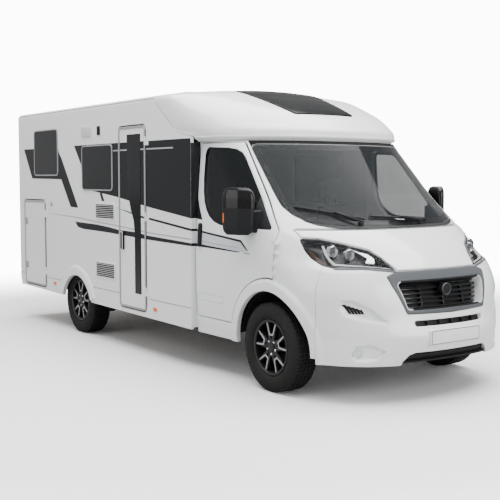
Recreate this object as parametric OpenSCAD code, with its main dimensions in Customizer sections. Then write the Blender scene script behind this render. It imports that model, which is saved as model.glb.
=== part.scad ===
// Low-profile motorhome: a flat-panelled living body on a front-wheel-drive van cab.
// Frame: +X forward, +Y to the vehicle's left, +Z up, origin on the ground under the middle. Millimetres.

/* [Overall] */
// Length over the bumpers
vehicle_l = 5990; // [5900:10:6100]
// Width of the living body over its side walls
living_w = 2120; // [2100:10:2200]
// Height of the roof's side edge above the ground
roof_edge_z = 2405; // [2390:5:2450]
// Rise of the roof's crown above its side edge
roof_crown_h = 75; // [50:5:110]
// Distance between the axles
wheelbase = 3450; // [3420:10:3500]
// From the front axle to the front of the bumper
front_overhang = 990; // [970:5:1010]

/* [Wheels] */
// Outer radius of a tyre
tyre_r = 350; // [340:1:356]
// Width of a tyre
tyre_w = 225; // [205:5:235]
// Distance between the front wheels' middles
front_track = 1810; // [1790:5:1820]
// From a side wall's outer face in to the rear tyre
tyre_setback = 52.5; // [47.5:2.5:67.5]
// Radius of the wheel spindles
spindle_r = 35; // [25:1:40]
// Running gap round a spindle
spindle_gap = 0.5; // [0.3:0.1:1]
// Radius of the front wheel arches
arch_r = 440; // [435:1:450]
// Width of the flared lip round a front arch
flare_w = 95; // [60:5:110]
// How far the flared lip stands out
flare_out = 22; // [10:1:30]

/* [Walls] */
// Thickness of the sandwich side, rear and roof panels
wall_t = 30; // [24:1:40]
// Thickness of the cab's doors and double panels
cab_t = 50; // [40:1:60]
// Thickness of the front cap's moulding
cap_t = 35; // [25:1:45]
// Thickness of the cab glass
glass_t = 8; // [5:1:10]
// Shut gap round every door and lid
shut_gap = 8; // [7:0.5:10]
// Fitting gap round glass and trim
fit_gap = 0.4; // [0.3:0.1:1]

/* [Doors and windows] */
// Width of the entry door
entry_door_w = 540; // [500:5:600]
// Height of the entry door
entry_door_h = 1738; // [1650:1:1760]
// Width of the garage door
garage_door_w = 625; // [500:5:650]
// Height of the garage door
garage_door_h = 988; // [800:1:1050]
// Width of the bedroom windows
bed_window_w = 656; // [500:1:680]
// Height of the bedroom windows
bed_window_h = 511; // [350:1:530]
// Width of the kitchen window
kitchen_window_w = 690; // [500:5:720]
// Height of the kitchen window
kitchen_window_h = 458; // [350:1:480]
// Width of the dinette window in the left wall
dinette_window_w = 800; // [600:10:900]
// Height of the dinette window in the left wall
dinette_window_h = 500; // [400:10:520]
// Width of a fridge vent
fridge_vent_w = 415; // [350:5:450]
// Height of a fridge vent
fridge_vent_h = 155; // [120:5:170]
// Corner radius of windows, doors and vents
corner_r = 45; // [20:1:60]

/* [Hidden] */
$fn = 48;

front_axle_x = vehicle_l / 2 - front_overhang;
rear_axle_x = front_axle_x - wheelbase;
half_w = living_w / 2;
rear_track = living_w - 2 * tyre_setback - tyre_w;
lamp_d = 43;
rear_x = -vehicle_l / 2 + lamp_d;
// The living body's side walls end at the cab doors' rear pillars
wall_front_x = front_axle_x - 1063;
// Doors, windows and vents as rear edge, front edge, lower edge and upper edge
function opening(rear, foot, w, h) = [rear, rear + w, foot, foot + h];
entry_door = opening(rear_axle_x + 1060, 412, entry_door_w, entry_door_h);
garage_door = opening(rear_x + 152, 422, garage_door_w, garage_door_h);
bed_window = opening(rear_x + 488, 1684, bed_window_w, bed_window_h);
right_windows = [bed_window, opening(rear_axle_x + 245, 1532, kitchen_window_w, kitchen_window_h)];
left_windows = [bed_window, opening(wall_front_x - 1262, 1400, dinette_window_w, dinette_window_h)];
vent_rear_x = rear_axle_x + 555;
fridge_vent_sizes = [for (foot = [1250, 660]) opening(vent_rear_x, foot, fridge_vent_w, fridge_vent_h)];
// Heights of the living body
wall_foot_z = 540;
skirt_foot_z = 385;
floor_z = 500;
floor_t = 60;
garage_floor_z = 395;
tray_t = 18;
garage_front_x = garage_door[1] + 40;
roof_corner_r = 55;
wall_top_z = roof_edge_z - roof_corner_r;
// The seam between living body and front cap slopes forward as it goes down
seam_top_x = front_axle_x - 1671;
seam_foot_x = front_axle_x - 1339;
seam_foot_z = 2096;
cap_foot_z = 1968;
// Rear wheel arch: a circle set below the axle and a little ahead of it, so that it hides the tyre's top
rear_arch_r = 365;
rear_arch_x = rear_axle_x + 70;
rear_arch_z = 265;
// Cab panels
door_rear_x = wall_front_x + 16;
door_front_x = front_axle_x + 55;
door_foot_z = 480;
door_top_z = 1952;
belt_z = 1262;
bumper_rear_x = front_axle_x + 480;
bonnet_foot_z = 985;
rail_y = 430;
rail_w = 60;
rail_z = [320, 395];
// Kingpin: lower ball and upper strut mount on the left side, as [y, z]
ball_at = [front_track / 2 - 70, 262];
strut_top_at = [front_track / 2 - 265, 900];
ball_r = 18;
// The strut's rod runs past its mount point to the tower's roof
rod_end = 16;
tower_top_z = strut_top_at[1] + 19.5;
firewall_x = front_axle_x - 5;
firewall_top_z = 1090;

// Cab levels from the sill up: height, nose ahead of the front axle, half width,
// where the side starts to curve ahead of the front axle, and how square the corner is
cab_levels = [
    [290, 925, 985, 60, 2.6],
    [420, 972, 1000, 80, 2.3],
    [488, front_overhang, 1005, 90, 2.2],
    [620, 945, 1015, 100, 2.3],
    [800, 905, 1022, 100, 2.4],
    [960, 835, 1024, 30, 2.36],
    [1060, 745, 1022, -60, 2.2],
    [1170, 600, 1016, -160, 2.4],
    [1240, 485, 1012, -210, 2.45],
    [1285, 400, 1010, -250, 2.45],
    [1500, 180, 996, -480, 2.2],
    [1730, -55, 980, -740, 2.3],
    [1965, -290, 960, -1000, 2.42]];

// Front cap levels, in the same columns
cap_levels = [
    [1968, -318, 985, -1150, 2.5],
    [2000, -292, 1015, -1150, 2.5],
    [2050, -300, 1040, -1200, 2.5],
    [2120, -400, 1056, -1300, 2.6],
    [2200, -545, half_w, -1400, 2.7],
    [2290, -780, half_w, -1520, 2.8],
    [2350, -955, half_w, -1600, 2.8],
    [2390, -1080, half_w - 16, -1650, 2.8],
    [2405, -1125, half_w - 55, -1680, 2.8],
    [2430, -1205, 820, -1740, 2.6],
    [2455, -1295, 580, -1800, 2.4],
    [2472, -1390, 320, -1860, 2.2]];

// Points round half of one level, from the rear to the nose
side_steps = 10;
outline_fn = 12;
function level_points(level, inset, back_x) =
    let (nose = level[1] - inset, w = level[2] - inset, start = level[3], n = level[4])
    let (half = [for (i = [0:side_steps])
        let (a = 90 * i / side_steps)
        [front_axle_x + start + (nose - start) * pow(sin(a), 2 / n), w * pow(cos(a), 2 / n)]])
    concat([[back_x, w]], half,
        [for (i = [side_steps - 1:-1:0]) [half[i][0], -half[i][1]]], [[back_x, -w]]);

// Solid between two neighbouring levels
function ring(level, inset, back_x) = [for (p = level_points(level, inset, back_x)) [p[0], p[1], level[0]]];
module level_step(low, high, inset, back_x) {
    n = len(ring(low, inset, back_x));
    hull() polyhedron(
        concat(ring(low, inset, back_x), ring(high, inset, back_x)),
        concat([[for (i = [0:n - 1]) i]], [[for (i = [n - 1:-1:0]) n + i]],
            [for (i = [0:n - 1]) [i, n + i, n + (i + 1) % n, (i + 1) % n]]));
}

// Solid through all levels of a table, drawn in by an inset; straight ends reach past the table by overrun
module level_form(levels, inset, back_x, overrun = 0) {
    last = len(levels) - 1;
    for (i = [0:last - 1]) level_step(levels[i], levels[i + 1], inset, back_x);
    if (overrun > 0) for (end = [[levels[0], -overrun], [levels[last], 0]])
        translate([0, 0, end[0][0] + end[1]]) linear_extrude(overrun)
            polygon(level_points(end[0], inset, back_x));
}

module cab_form(inset = 0) level_form(cab_levels, inset,
    inset > 0 ? wall_front_x - 200 : wall_front_x + 5, inset > 0 ? 30 : 0);
module cap_form(inset = 0) level_form(cap_levels, inset, seam_top_x - 400, 0);
module cab_layer(outer, inner) difference() { cab_form(outer); cab_form(inner); }

// Closed outline from points on the left, with the same points mirrored to the right
function mirrored_points(half) = concat(half, [for (i = [len(half) - 1:-1:0]) [-half[i][0], half[i][1]]]);

// Prisms drawn in the side view (x, z), in the front view (y, z) and in the plan (x, y)
module along_y(y0, y1) translate([0, y1, 0]) rotate([90, 0, 0]) linear_extrude(y1 - y0) children();
module along_x(x0, x1) translate([x0, 0, 0]) rotate([90, 0, 90]) linear_extrude(x1 - x0) children();
module both_sides() { children(); mirror([0, 1, 0]) children(); }

// Rectangle with round corners from edges [x0, x1, z0, z1], grown by a margin
module round_rect(edges, r, grow = 0) {
    x0 = edges[0] - grow;
    x1 = edges[1] + grow;
    z0 = edges[2] - grow;
    z1 = edges[3] + grow;
    rr = r + grow;
    translate([x0 + rr, z0]) square([x1 - x0 - 2 * rr, z1 - z0]);
    translate([x0, z0 + rr]) square([x1 - x0, z1 - z0 - 2 * rr]);
    for (x = [x0 + rr, x1 - rr], z = [z0 + rr, z1 - rr]) translate([x, z]) circle(rr);
}

module box(x, y, z) translate([x[0], y[0], z[0]]) cube([x[1] - x[0], y[1] - y[0], z[1] - z[0]]);

// Cab outlines in the side view
module door_outline(grow = 0) offset($fn = outline_fn, delta = grow) difference() {
    offset(r = 25, $fn = outline_fn) offset(delta = -25) polygon([
        [door_rear_x, door_foot_z], [door_front_x, door_foot_z],
        [door_front_x, belt_z - 10], [front_axle_x - 570, door_top_z], [door_rear_x, door_top_z]]);
    translate([front_axle_x, tyre_r]) circle(arch_r + flare_w + shut_gap, $fn = 64);
}
module door_window_outline(grow = 0) offset($fn = outline_fn, r = 40 + grow) offset(delta = -40) polygon([
    [door_rear_x + 55, belt_z + 60], [door_rear_x + 330, belt_z + 10], [front_axle_x - 12, belt_z],
    [front_axle_x - 600, 1900], [door_rear_x + 55, 1908]]);

// Cab outlines in the front view
module windscreen_outline(grow = 0) offset($fn = outline_fn, r = 50 + grow) offset(delta = -50)
    polygon(mirrored_points([[0, 1286], [560, 1294], [775, 1320], [838, 1372], [862, 1440], [822, 1938]]));
module bonnet_outline(grow = 0) offset($fn = outline_fn, delta = grow)
    polygon(mirrored_points([[405, bonnet_foot_z], [426, 1012], [463, 1071], [520, 1133], [610, 1160],
        [688, 1186], [800, 1215], [884, 1219], [890, 1262], [870, 1270]]));
module lamp_outline(grow = 0) offset($fn = outline_fn, delta = grow)
    polygon([[414, 978], [547, 996], [660, 1004], [791, 1010], [830, 999], [870, 1015], [896, 1064],
        [909, 1118], [906, 1183], [899, 1200], [884, 1209], [801, 1205], [691, 1176], [613, 1150],
        [526, 1124], [471, 1065], [434, 1005]]);
module bumper_outline(grow = 0) offset($fn = outline_fn, delta = grow)
    polygon(mirrored_points([[1300, 200], [1300, 1014], [791, 1014], [547, 999], [415, bonnet_foot_z - 2]]));
module surround_outline(grow = 0) offset($fn = outline_fn, r = 15 + grow) offset(delta = -15)
    polygon(mirrored_points([[0, 656], [412, 664], [500, 870], [520, 940], [418, bonnet_foot_z - 9]]));
module grille_outline(grow = 0) offset($fn = outline_fn, r = 30 + grow) offset(delta = -30)
    polygon(mirrored_points([[398, 702], [458, 897]]));
module intake_outline(grow = 0) offset($fn = outline_fn, delta = grow)
    polygon(mirrored_points([[470, 260], [448, 318], [405, 364], [360, 380]]));
// Recess of a fog lamp, its lens, and the slashes above it
module fog_outline(grow = 0) offset($fn = outline_fn, r = 15 + grow) offset(delta = -15)
    polygon([[790, 372], [770, 440], [665, 450], [572, 396], [640, 333], [760, 326]]);
fog_lens_at = [742, 386];
fog_lens_r = 30;
module slash_vents() for (i = [0:4])
    polygon([[838 - i * 23, 738 - i * 9], [822 - i * 23, 738 - i * 9], [786 - i * 18, 672],
        [802 - i * 18, 672]]);
slot_box = [-360, 360, 575, 616];
// Number plate's pad on the bumper
plate_size = [524, 114];
plate_z = 488;

// Running gear
beam_x = [front_axle_x + 670, front_axle_x + 755];
beam_rise = 25;
// Threaded socket for the screw-in towing eye
eye_r = 12;
eye_depth = 60;
eye_at = [-250, 345];
module chassis_frame() color("dimgray") difference() {
    union() {
        both_sides() box([rear_x + 90, beam_x[1]], [rail_y - rail_w / 2, rail_y + rail_w / 2], rail_z);
        box([rear_x + 90, rear_x + 130], [-rail_y, rail_y], rail_z);
        box(beam_x, [-480, 480], [rail_z[0], rail_z[1] + beam_rise]);
    }
    for (y = [-150, 150], z = [338, 378])
        translate([rear_x + 80, y, z]) rotate([0, 90, 0]) cylinder(60, r = 6.5);
    translate([beam_x[1] - eye_depth, eye_at[0], eye_at[1]]) rotate([0, 90, 0]) cylinder(eye_depth + 1, r = eye_r);
}

// Entrance step well, along the door
step_x = [entry_door[0] - 15, entry_door[1] + 15];
member_w = 60;
member_end = 130;
module cross_members() color("dimgray")
    for (x = [garage_front_x + 20, rear_axle_x + 545, step_x[0] - 70, step_x[1] + 10, wall_front_x - 40,
        front_axle_x - 560])
        box([x, x + member_w], [member_end - half_w, half_w - member_end], [rail_z[1], floor_z]);

module front_subframe() color("dimgray") {
    box([front_axle_x - 150, front_axle_x + 150], [-rail_y - 20, rail_y + 20], [205, 270]);
    both_sides() {
        box([front_axle_x - 40, front_axle_x + 40], [rail_y - 30, rail_y + 20], [270, rail_z[0]]);
        translate([0, 0, 222]) linear_extrude(ball_at[1] - ball_r - 0.5 - 222) union() {
            polygon([[front_axle_x - 130, rail_y], [front_axle_x + 130, rail_y],
                [front_axle_x + 30, ball_at[0]], [front_axle_x - 30, ball_at[0]]]);
            translate([front_axle_x, ball_at[0]]) circle(32);
        }
    }
}

axle_tube_r = 40;
axle_tube_x = rear_axle_x + 190;
arm_y = [rear_track / 2 - 205, rear_track / 2 - 155];
module rear_axle() color("dimgray") {
    translate([axle_tube_x, 0, rail_z[0] - axle_tube_r]) rotate([90, 0, 0])
        cylinder(2 * arm_y[1], r = axle_tube_r, center = true);
    both_sides() {
        translate([0, arm_y[1], 0]) rotate([90, 0, 0]) hull() {
            translate([axle_tube_x, rail_z[0] - axle_tube_r]) cylinder(arm_y[1] - arm_y[0], r = 52);
            translate([rear_axle_x, tyre_r]) cylinder(arm_y[1] - arm_y[0], r = 60);
        }
        translate([rear_axle_x, arm_y[1], tyre_r]) rotate([-90, 0, 0])
            cylinder(rear_track / 2 + hub_depth - 1 - arm_y[1], r = spindle_r);
    }
}

module engine_block() color("gray") box([front_axle_x + 60, front_axle_x + 600], [-370, 370], [270, 900]);

module radiator() color("black")
    box([beam_x[0] + 10, beam_x[0] + 56], [-330, 330], [rail_z[1] + beam_rise, 900]);

module underfloor_tanks() color("dimgray") both_sides()
    translate([0, 0, 330]) linear_extrude(floor_z - 330)
        round_rect([step_x[1] + 30 + member_w, wall_front_x - 60, rail_y + 70, half_w - member_end - 15], 50);

module exhaust() color("gray") {
    pipe_z = 285;
    tail_x = step_x[1] - 250;
    translate([tail_x, 150, pipe_z]) rotate([0, 90, 0]) cylinder(front_axle_x - 150 - tail_x, r = 26);
    translate([step_x[1] + 130, 150, pipe_z]) rotate([0, 90, 0]) cylinder(520, r = 85);
    for (x = [step_x[1] + 30, wall_front_x - 20]) box([x, x + 20], [145, 155], [pipe_z, rail_z[1]]);
}

hub_depth = 46;
// Knuckle of the left wheel, with its strut along the kingpin
module knuckle() {
    lean = atan2(ball_at[0] - strut_top_at[0], strut_top_at[1] - ball_at[1]);
    reach = norm(strut_top_at - ball_at);
    inner_y = front_track / 2 - 110;
    translate([front_axle_x, inner_y - 25, tyre_r]) rotate([-90, 0, 0])
        cylinder(front_track / 2 + hub_depth - 1 - inner_y + 25, r = spindle_r);
    translate([front_axle_x, inner_y + 77, tyre_r]) rotate([-90, 0, 0]) cylinder(12, r = 150);
    translate([front_axle_x, ball_at[0], ball_at[1]]) {
        sphere(ball_r);
        rotate([lean, 0, 0]) {
            cylinder(reach + rod_end, r = 13);
            translate([0, 0, 245]) cylinder(reach - 245, r = 25);
            translate([0, 0, 480]) cylinder(reach - 488, r = 52);
        }
    }
    hull() {
        translate([front_axle_x, ball_at[0] - 12, ball_at[1] + 42]) sphere(24, $fn = 16);
        translate([front_axle_x, inner_y, tyre_r]) sphere(50, $fn = 20);
    }
    hull() {
        translate([front_axle_x, inner_y, tyre_r]) sphere(50, $fn = 20);
        translate([front_axle_x, ball_at[0] - 80, ball_at[1] + 262]) sphere(30, $fn = 16);
    }
}
module knuckle_left() color("dimgray") knuckle();
module knuckle_right() color("dimgray") mirror([0, 1, 0]) knuckle();

// Wheels: local +Z points outwards from the vehicle
bead_r = 206;
flange_r = 218;
rim_half_w = 88;
module at_wheel(x, track, side)
    translate([x, side * track / 2, tyre_r]) rotate([side > 0 ? -90 : 90, 0, 0]) children();

module tyre() rotate_extrude($fn = 96) {
    s = tyre_w / 2;
    polygon([[bead_r, -rim_half_w + 14], [bead_r, -rim_half_w + 0.5], [flange_r + 1, -rim_half_w + 0.5],
        [flange_r + 5, -rim_half_w - 3],
        [bead_r + 55, -s], [tyre_r - 40, -s + 4], [tyre_r - 10, -s + 22], [tyre_r, -s + 46],
        [tyre_r, s - 46], [tyre_r - 10, s - 22], [tyre_r - 40, s - 4], [bead_r + 55, s],
        [flange_r + 5, rim_half_w + 3], [flange_r + 1, rim_half_w - 0.5], [bead_r, rim_half_w - 0.5],
        [bead_r, rim_half_w - 14],
        [bead_r + 50, s - 16], [tyre_r - 28, s - 30], [tyre_r - 28, 30 - s], [bead_r + 50, 16 - s]]);
}

spoke_pairs = 5;
module wheel() {
    difference() {
        union() {
            rotate_extrude($fn = 96) polygon([[186, -rim_half_w - 8], [flange_r, -rim_half_w - 8],
                [flange_r, -rim_half_w], [bead_r - 0.4, -rim_half_w], [bead_r - 0.4, rim_half_w],
                [flange_r, rim_half_w], [flange_r, rim_half_w + 8], [196, rim_half_w + 8], [190, 40],
                [190, -rim_half_w]]);
            cylinder(80, r = 72);
            for (i = [0:spoke_pairs - 1]) rotate(90 + i * 360 / spoke_pairs)
                for (m = [0, 1]) mirror([0, m, 0]) translate([0, 0, 52]) linear_extrude(36)
                    polygon([[55, 4], [60, 34], [194, 66], [197, 40], [110, 14]]);
        }
        translate([0, 0, -1]) cylinder(hub_depth + 1, r = spindle_r + spindle_gap);
    }
}
module tyre_front_left() color("black") at_wheel(front_axle_x, front_track, 1) tyre();
module tyre_front_right() color("black") at_wheel(front_axle_x, front_track, -1) tyre();
module tyre_rear_left() color("black") at_wheel(rear_axle_x, rear_track, 1) tyre();
module tyre_rear_right() color("black") at_wheel(rear_axle_x, rear_track, -1) tyre();
module wheel_front_left() color("silver") at_wheel(front_axle_x, front_track, 1) wheel();
module wheel_front_right() color("silver") at_wheel(front_axle_x, front_track, -1) wheel();
module wheel_rear_left() color("silver") at_wheel(rear_axle_x, rear_track, 1) wheel();
module wheel_rear_right() color("silver") at_wheel(rear_axle_x, rear_track, -1) wheel();

// Cab panels, all cut from one form
module door_cut() along_y(-1300, -500) door_outline(shut_gap);
module bumper_region(grow = 0) along_x(bumper_rear_x - grow, front_axle_x + 1200) bumper_outline(grow);
module front_view(x0 = -900) along_x(front_axle_x + x0, front_axle_x + 1200) children();
module lamp_region(grow = 0) both_sides() front_view(150) lamp_outline(grow);
module arch_cut(r) translate([front_axle_x, 0, tyre_r]) rotate([90, 0, 0])
    cylinder(2600, r = r, center = true, $fn = 60);

// Opening for a pane: right through, with a ledge behind the glass
module pane_cut() {
    children(1);
    difference() { children(0); cab_form(glass_t + fit_gap); }
}

// Hinges of the bonnet, under its rear corners
bonnet_pin = [front_axle_x + 116, 1273];
bonnet_hinge_y = 835;
bonnet_barrel_w = 22;
module bonnet_hinge(dir, y, grow = 0) translate([bonnet_pin[0], y, bonnet_pin[1]]) {
    translate([0, -grow, 0]) rotate([-90, 0, 0]) cylinder(bonnet_barrel_w + 2 * grow, r = 7 + grow, $fn = 24);
    if (dir > 0) box([0, 115], [0, bonnet_barrel_w], [-34, -2]);
    else box([-45 - grow, 0], [-grow, bonnet_barrel_w + grow], [-34 - grow, grow]);
}
module bonnet_hinge_room() translate([bonnet_pin[0], bonnet_hinge_y - 6, bonnet_pin[1]]) {
    rotate([-90, 0, 0]) cylinder(bonnet_barrel_w + 6.3, r = 13, $fn = 24);
    box([0, 140], [0, bonnet_barrel_w + 6.3], [-60, 48]);
    // The bonnet's rear corner swings up through here
    box([12, 104], [-22, 76], [-12, 22]);
}

// Halves of the door and bonnet hinges that stay on the cab, in pockets of its wall
module cab_hinges() color("silver") both_sides() {
    for (z = door_hinge_z, dz = [-barrel_h - 0.3, barrel_h + 0.3]) door_hinge(1, z + dz);
    bonnet_hinge(-1, bonnet_hinge_y + bonnet_barrel_w + 0.3);
}
module hinge_pockets() {
    for (z = door_hinge_z, dz = [-barrel_h - 0.3, barrel_h + 0.3]) door_hinge(1, z + dz, fit_gap);
    bonnet_hinge(-1, bonnet_hinge_y + bonnet_barrel_w + 0.3, fit_gap);
}
module cab_body() color("white") difference() {
    union() {
        cab_form(0);
        intersection() {
            cab_form(-flare_out);
            arch_cut(arch_r + flare_w);
            box([front_axle_x - 600, bumper_rear_x + 20], [-1300, 1300], [300, 1000]);
        }
        box([wall_front_x + fit_gap, door_rear_x - shut_gap], [4 - half_w, half_w - 4],
            [skirt_foot_z - 20, cap_foot_z - 3]);
    }
    cab_form(cab_t);
    box([wall_front_x - 300, front_axle_x + 1100], [-1300, 1300], [200, 330]);
    both_sides() door_cut();
    pane_cut() {
        front_view() windscreen_outline(fit_gap);
        front_view() windscreen_outline(-22);
    }
    front_view(-200) bonnet_outline(shut_gap);
    lamp_region(fit_gap);
    bumper_region(fit_gap);
    arch_cut(arch_r);
    both_sides() {
        door_hinge_room();
        bonnet_hinge_room();
        hinge_pockets();
    }
}

cab_floor_half_w = 948;
module cab_floor() color("dimgray") {
    box([wall_front_x + 2, front_axle_x - arch_r - 12], [-cab_floor_half_w, cab_floor_half_w],
        [floor_z, floor_z + 20]);
    box([front_axle_x - arch_r - 12, firewall_x], [-bay_y, bay_y], [floor_z, floor_z + 20]);
    box([firewall_x, firewall_x + 20], [-bay_y, bay_y], [floor_z, firewall_top_z]);
}

tower_r = 100;
tower_y = strut_top_at[0] + 25;
// Half width of the engine bay between the wheelhouses
bay_y = tower_y - tower_r - 15;
house_wall_t = 8;
module front_house() difference() {
    union() {
        translate([front_axle_x, half_w, tyre_r]) rotate([90, 0, 0])
            cylinder(half_w - bay_y, r = arch_r + house_wall_t);
        translate([front_axle_x, tower_y, tyre_r])
            cylinder(tower_top_z + house_wall_t - tyre_r, r = tower_r + house_wall_t);
    }
    translate([front_axle_x, half_w + 10, tyre_r]) rotate([90, 0, 0])
        cylinder(half_w + 12 - bay_y, r = arch_r);
    translate([front_axle_x, tower_y, tyre_r]) cylinder(tower_top_z - tyre_r, r = tower_r);
    box([front_axle_x - 600, front_axle_x + 600], [bay_y - 50, half_w + 20], [-500, floor_z]);
}
module front_wheelhouses() color("black") intersection() {
    both_sides() front_house();
    cab_form(cab_t + fit_gap);
}

// The bonnet's skin, with an inner frame that stops short of the cowl so that the rear edge can rise
bonnet_skin_t = 14;
bonnet_frame_top_z = 1232;
bonnet_top_z = 1263;
module bonnet() color("white") {
    intersection() {
        cab_layer(0, bonnet_skin_t);
        front_view(-200) intersection() {
            bonnet_outline();
            translate([-1000, 0]) square([2000, bonnet_top_z]);
        }
    }
    intersection() {
        cab_layer(bonnet_skin_t - 6, 40);
        front_view(-200) intersection() {
            bonnet_outline(-12);
            translate([-1000, 0]) square([2000, bonnet_frame_top_z]);
        }
    }
    intersection() {
        both_sides() bonnet_hinge(1, bonnet_hinge_y);
        cab_form(5);
    }
}

module front_bumper() color("white") {
    difference() {
        union() {
            intersection() { cab_layer(0, 40); bumper_region(); }
            intersection() {
                cab_layer(25, 60);
                both_sides() front_view(300) fog_outline(12);
            }
            box([front_axle_x + 930, front_axle_x + front_overhang - 3],
                [-plate_size[0] / 2, plate_size[0] / 2],
                [plate_z - plate_size[1] / 2, plate_z + plate_size[1] / 2]);
        }
        difference() {
            both_sides() front_view(300) fog_outline();
            cab_form(26);
        }
        lamp_region(fit_gap);
        front_view(-200) bonnet_outline(shut_gap);
        front_view(300) surround_outline(fit_gap);
        front_view(300) round_rect(slot_box, 15);
        front_view(300) intake_outline();
        both_sides() front_view(300) slash_vents();
        arch_cut(arch_r);
    }
}

// The surround's inner wall reaches back to the grille
recess_d = 78;
module grille_surround() color("gray") {
    intersection() {
        difference() { cab_form(-2.5); cab_form(26); }
        front_view(300) difference() { surround_outline(); grille_outline(); }
    }
    intersection() {
        difference() { cab_form(20); cab_form(recess_d + 24); }
        front_view(300) difference() { grille_outline(10); grille_outline(); }
    }
}

bar_count = 5;
module grille() color("black") {
    intersection() {
        difference() { cab_form(recess_d - 14); cab_form(recess_d + 14); }
        front_view(300) {
            intersection() {
                grille_outline(-fit_gap);
                for (i = [0:bar_count]) translate([-500, 704 + i * 37]) square([1000, 16]);
            }
            difference() { grille_outline(-fit_gap); grille_outline(-12); }
            for (y = [-230, 0, 230]) translate([y - 5, 704]) square([10, 190]);
        }
    }
    intersection() {
        difference() { cab_form(10); cab_form(34); }
        front_view(300) for (y = [-240:120:240]) translate([y - 6, slot_box[2] + fit_gap])
            square([12, slot_box[3] - slot_box[2] - 2 * fit_gap]);
    }
    difference() {
        intersection() {
            difference() { cab_form(12); cab_form(60); }
            front_view(300) intersection() {
                intake_outline(-fit_gap);
                translate([-500, 302]) square([1000, 100]);
            }
        }
        difference() {
            front_view(300) translate([-376, 323]) square([752, 35]);
            cab_form(38);
        }
        // The towing eye screws in through this gap
        front_view(300) translate([eye_at[0] - 24, 280]) square([48, 140]);
    }
}

// Lamp units: a lens on the form, and a small round lamp in each fog recess
module headlamps() color("lightgray") {
    intersection() {
        difference() { cab_form(2); cab_form(90); }
        lamp_region();
    }
    both_sides() intersection() {
        difference() { cab_form(8); cab_form(26 - fit_gap); }
        front_view(300) translate(fog_lens_at) circle(fog_lens_r, $fn = 24);
    }
}

module windscreen() color("slategray") intersection() {
    cab_layer(0, glass_t);
    front_view() windscreen_outline();
}

// Hinges of the right cab door: barrels on the pin line, with leaves reaching back or forward
door_pin = [door_front_x + shut_gap / 2, -1029];
door_hinge_z = [950, 1115];
barrel_r = 9;
barrel_h = 36;
module door_hinge(dir, z, grow = 0) translate([door_pin[0], door_pin[1], z]) {
    translate([0, 0, -grow]) cylinder(barrel_h + 2 * grow, r = barrel_r + grow, $fn = 24);
    box(dir > 0 ? [0, 45 + grow] : [-45, 0], [-grow, 56 + grow], [4 - grow, barrel_h - 4 + grow]);
}
module door_hinge_room() for (z = door_hinge_z)
    translate([door_pin[0], door_pin[1], z - barrel_h - 6])
        cylinder(3 * barrel_h + 12, r = barrel_r + 5, $fn = 16);

module door_right() {
    difference() {
        intersection() { cab_layer(0, cab_t); along_y(-1300, -500) door_outline(); }
        pane_cut() {
            along_y(-1300, -500) door_window_outline(fit_gap);
            along_y(-1300, -500) door_window_outline(-20);
        }
        door_hinge_room();
    }
    for (z = door_hinge_z) door_hinge(-1, z);
    along_y(-1040, -990) round_rect([door_rear_x + 45, door_rear_x + 92, 1074, 1278], 20);
}
module glass_right() intersection() {
    cab_layer(0, glass_t);
    along_y(-1300, -500) door_window_outline();
}
module cab_door_right() color("white") door_right();
module cab_door_left() color("white") mirror([0, 1, 0]) door_right();
module door_glass_right() color("slategray") glass_right();
module door_glass_left() color("slategray") mirror([0, 1, 0]) glass_right();

// Mirror housing in the plan, behind the front axle, swept back to its outer end; tops and feet draw in
mirror_z = [1215, 1585];
mirror_end_h = 55;
module mirror_plan(inset = 0) translate([front_axle_x, 0]) offset(delta = -inset) offset(r = 25, $fn = 16)
    offset(delta = -25) polygon([[-185, -1052], [-325, -1160], [-345, -1200], [-405, -1200], [-345, -1052]]);
module mirror_slice(z, h, inset) translate([0, 0, z]) linear_extrude(h) mirror_plan(inset);
module mirror_right_solid() difference() {
    union() {
        hull() {
            mirror_slice(mirror_z[0], 1, 26);
            mirror_slice(mirror_z[0] + mirror_end_h, mirror_z[1] - mirror_z[0] - 2 * mirror_end_h, 0);
            mirror_slice(mirror_z[1] - 1, 1, 26);
        }
        hull() {
            box([front_axle_x - 300, front_axle_x - 215], [-1085, -1065],
                [mirror_z[0] + 35, mirror_z[0] + 95]);
            box([front_axle_x - 310, front_axle_x - 170], [-1000, -980],
                [mirror_z[0] + 20, mirror_z[0] + 110]);
        }
    }
    cab_form(0);
}
module mirror_right() color("black") mirror_right_solid();
module mirror_left() color("black") mirror([0, 1, 0]) mirror_right_solid();

module dash_profile() polygon([[firewall_x - 285, 935], [firewall_x - 310, 1040], [firewall_x - 250, 1130],
    [firewall_x - 150, 1175], [firewall_x + 230, 1205], [firewall_x + 250, firewall_top_z],
    [firewall_x, firewall_top_z], [firewall_x, 935]]);
module dash_solid() along_y(-830, 830) dash_profile();
module dashboard() color("black") difference() {
    dash_solid();
    // Room behind the lamps
    both_sides() box([front_axle_x + 140, front_axle_x + 300], [700, 900], [900, 1300]);
}

seat_y = 470;
module cab_seats() color("dimgray") both_sides() translate([wall_front_x + 130, seat_y, floor_z + 20]) {
    box([60, 420], [-170, 170], [0, 200]);
    hull() for (x = [40, 470], y = [-200, 200]) translate([x, y, 220]) sphere(48, $fn = 10);
    hull() {
        for (y = [-200, 200]) translate([20, y, 290]) sphere(50, $fn = 10);
        for (y = [-170, 170]) translate([-90, y, 880]) sphere(45, $fn = 10);
    }
    hull() for (y = [-90, 90], z = [975, 1080]) translate([-105, y, z]) sphere(40, $fn = 10);
    for (y = [-60, 60]) translate([-95, y, 860]) cylinder(120, r = 8);
}

wheel_tilt = 30;
module steering_wheel() color("black") difference() {
    translate([firewall_x - 400, seat_y - 50, 1080]) rotate([0, -wheel_tilt, 0]) {
        rotate_extrude() translate([180, 0]) circle(15, $fn = 16);
        for (a = [0, 140, 220]) rotate(a) translate([0, -16, -8]) cube([175, 32, 14]);
        translate([0, 0, -200]) cylinder(206, r = 38);
    }
    dash_solid();
}

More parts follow.
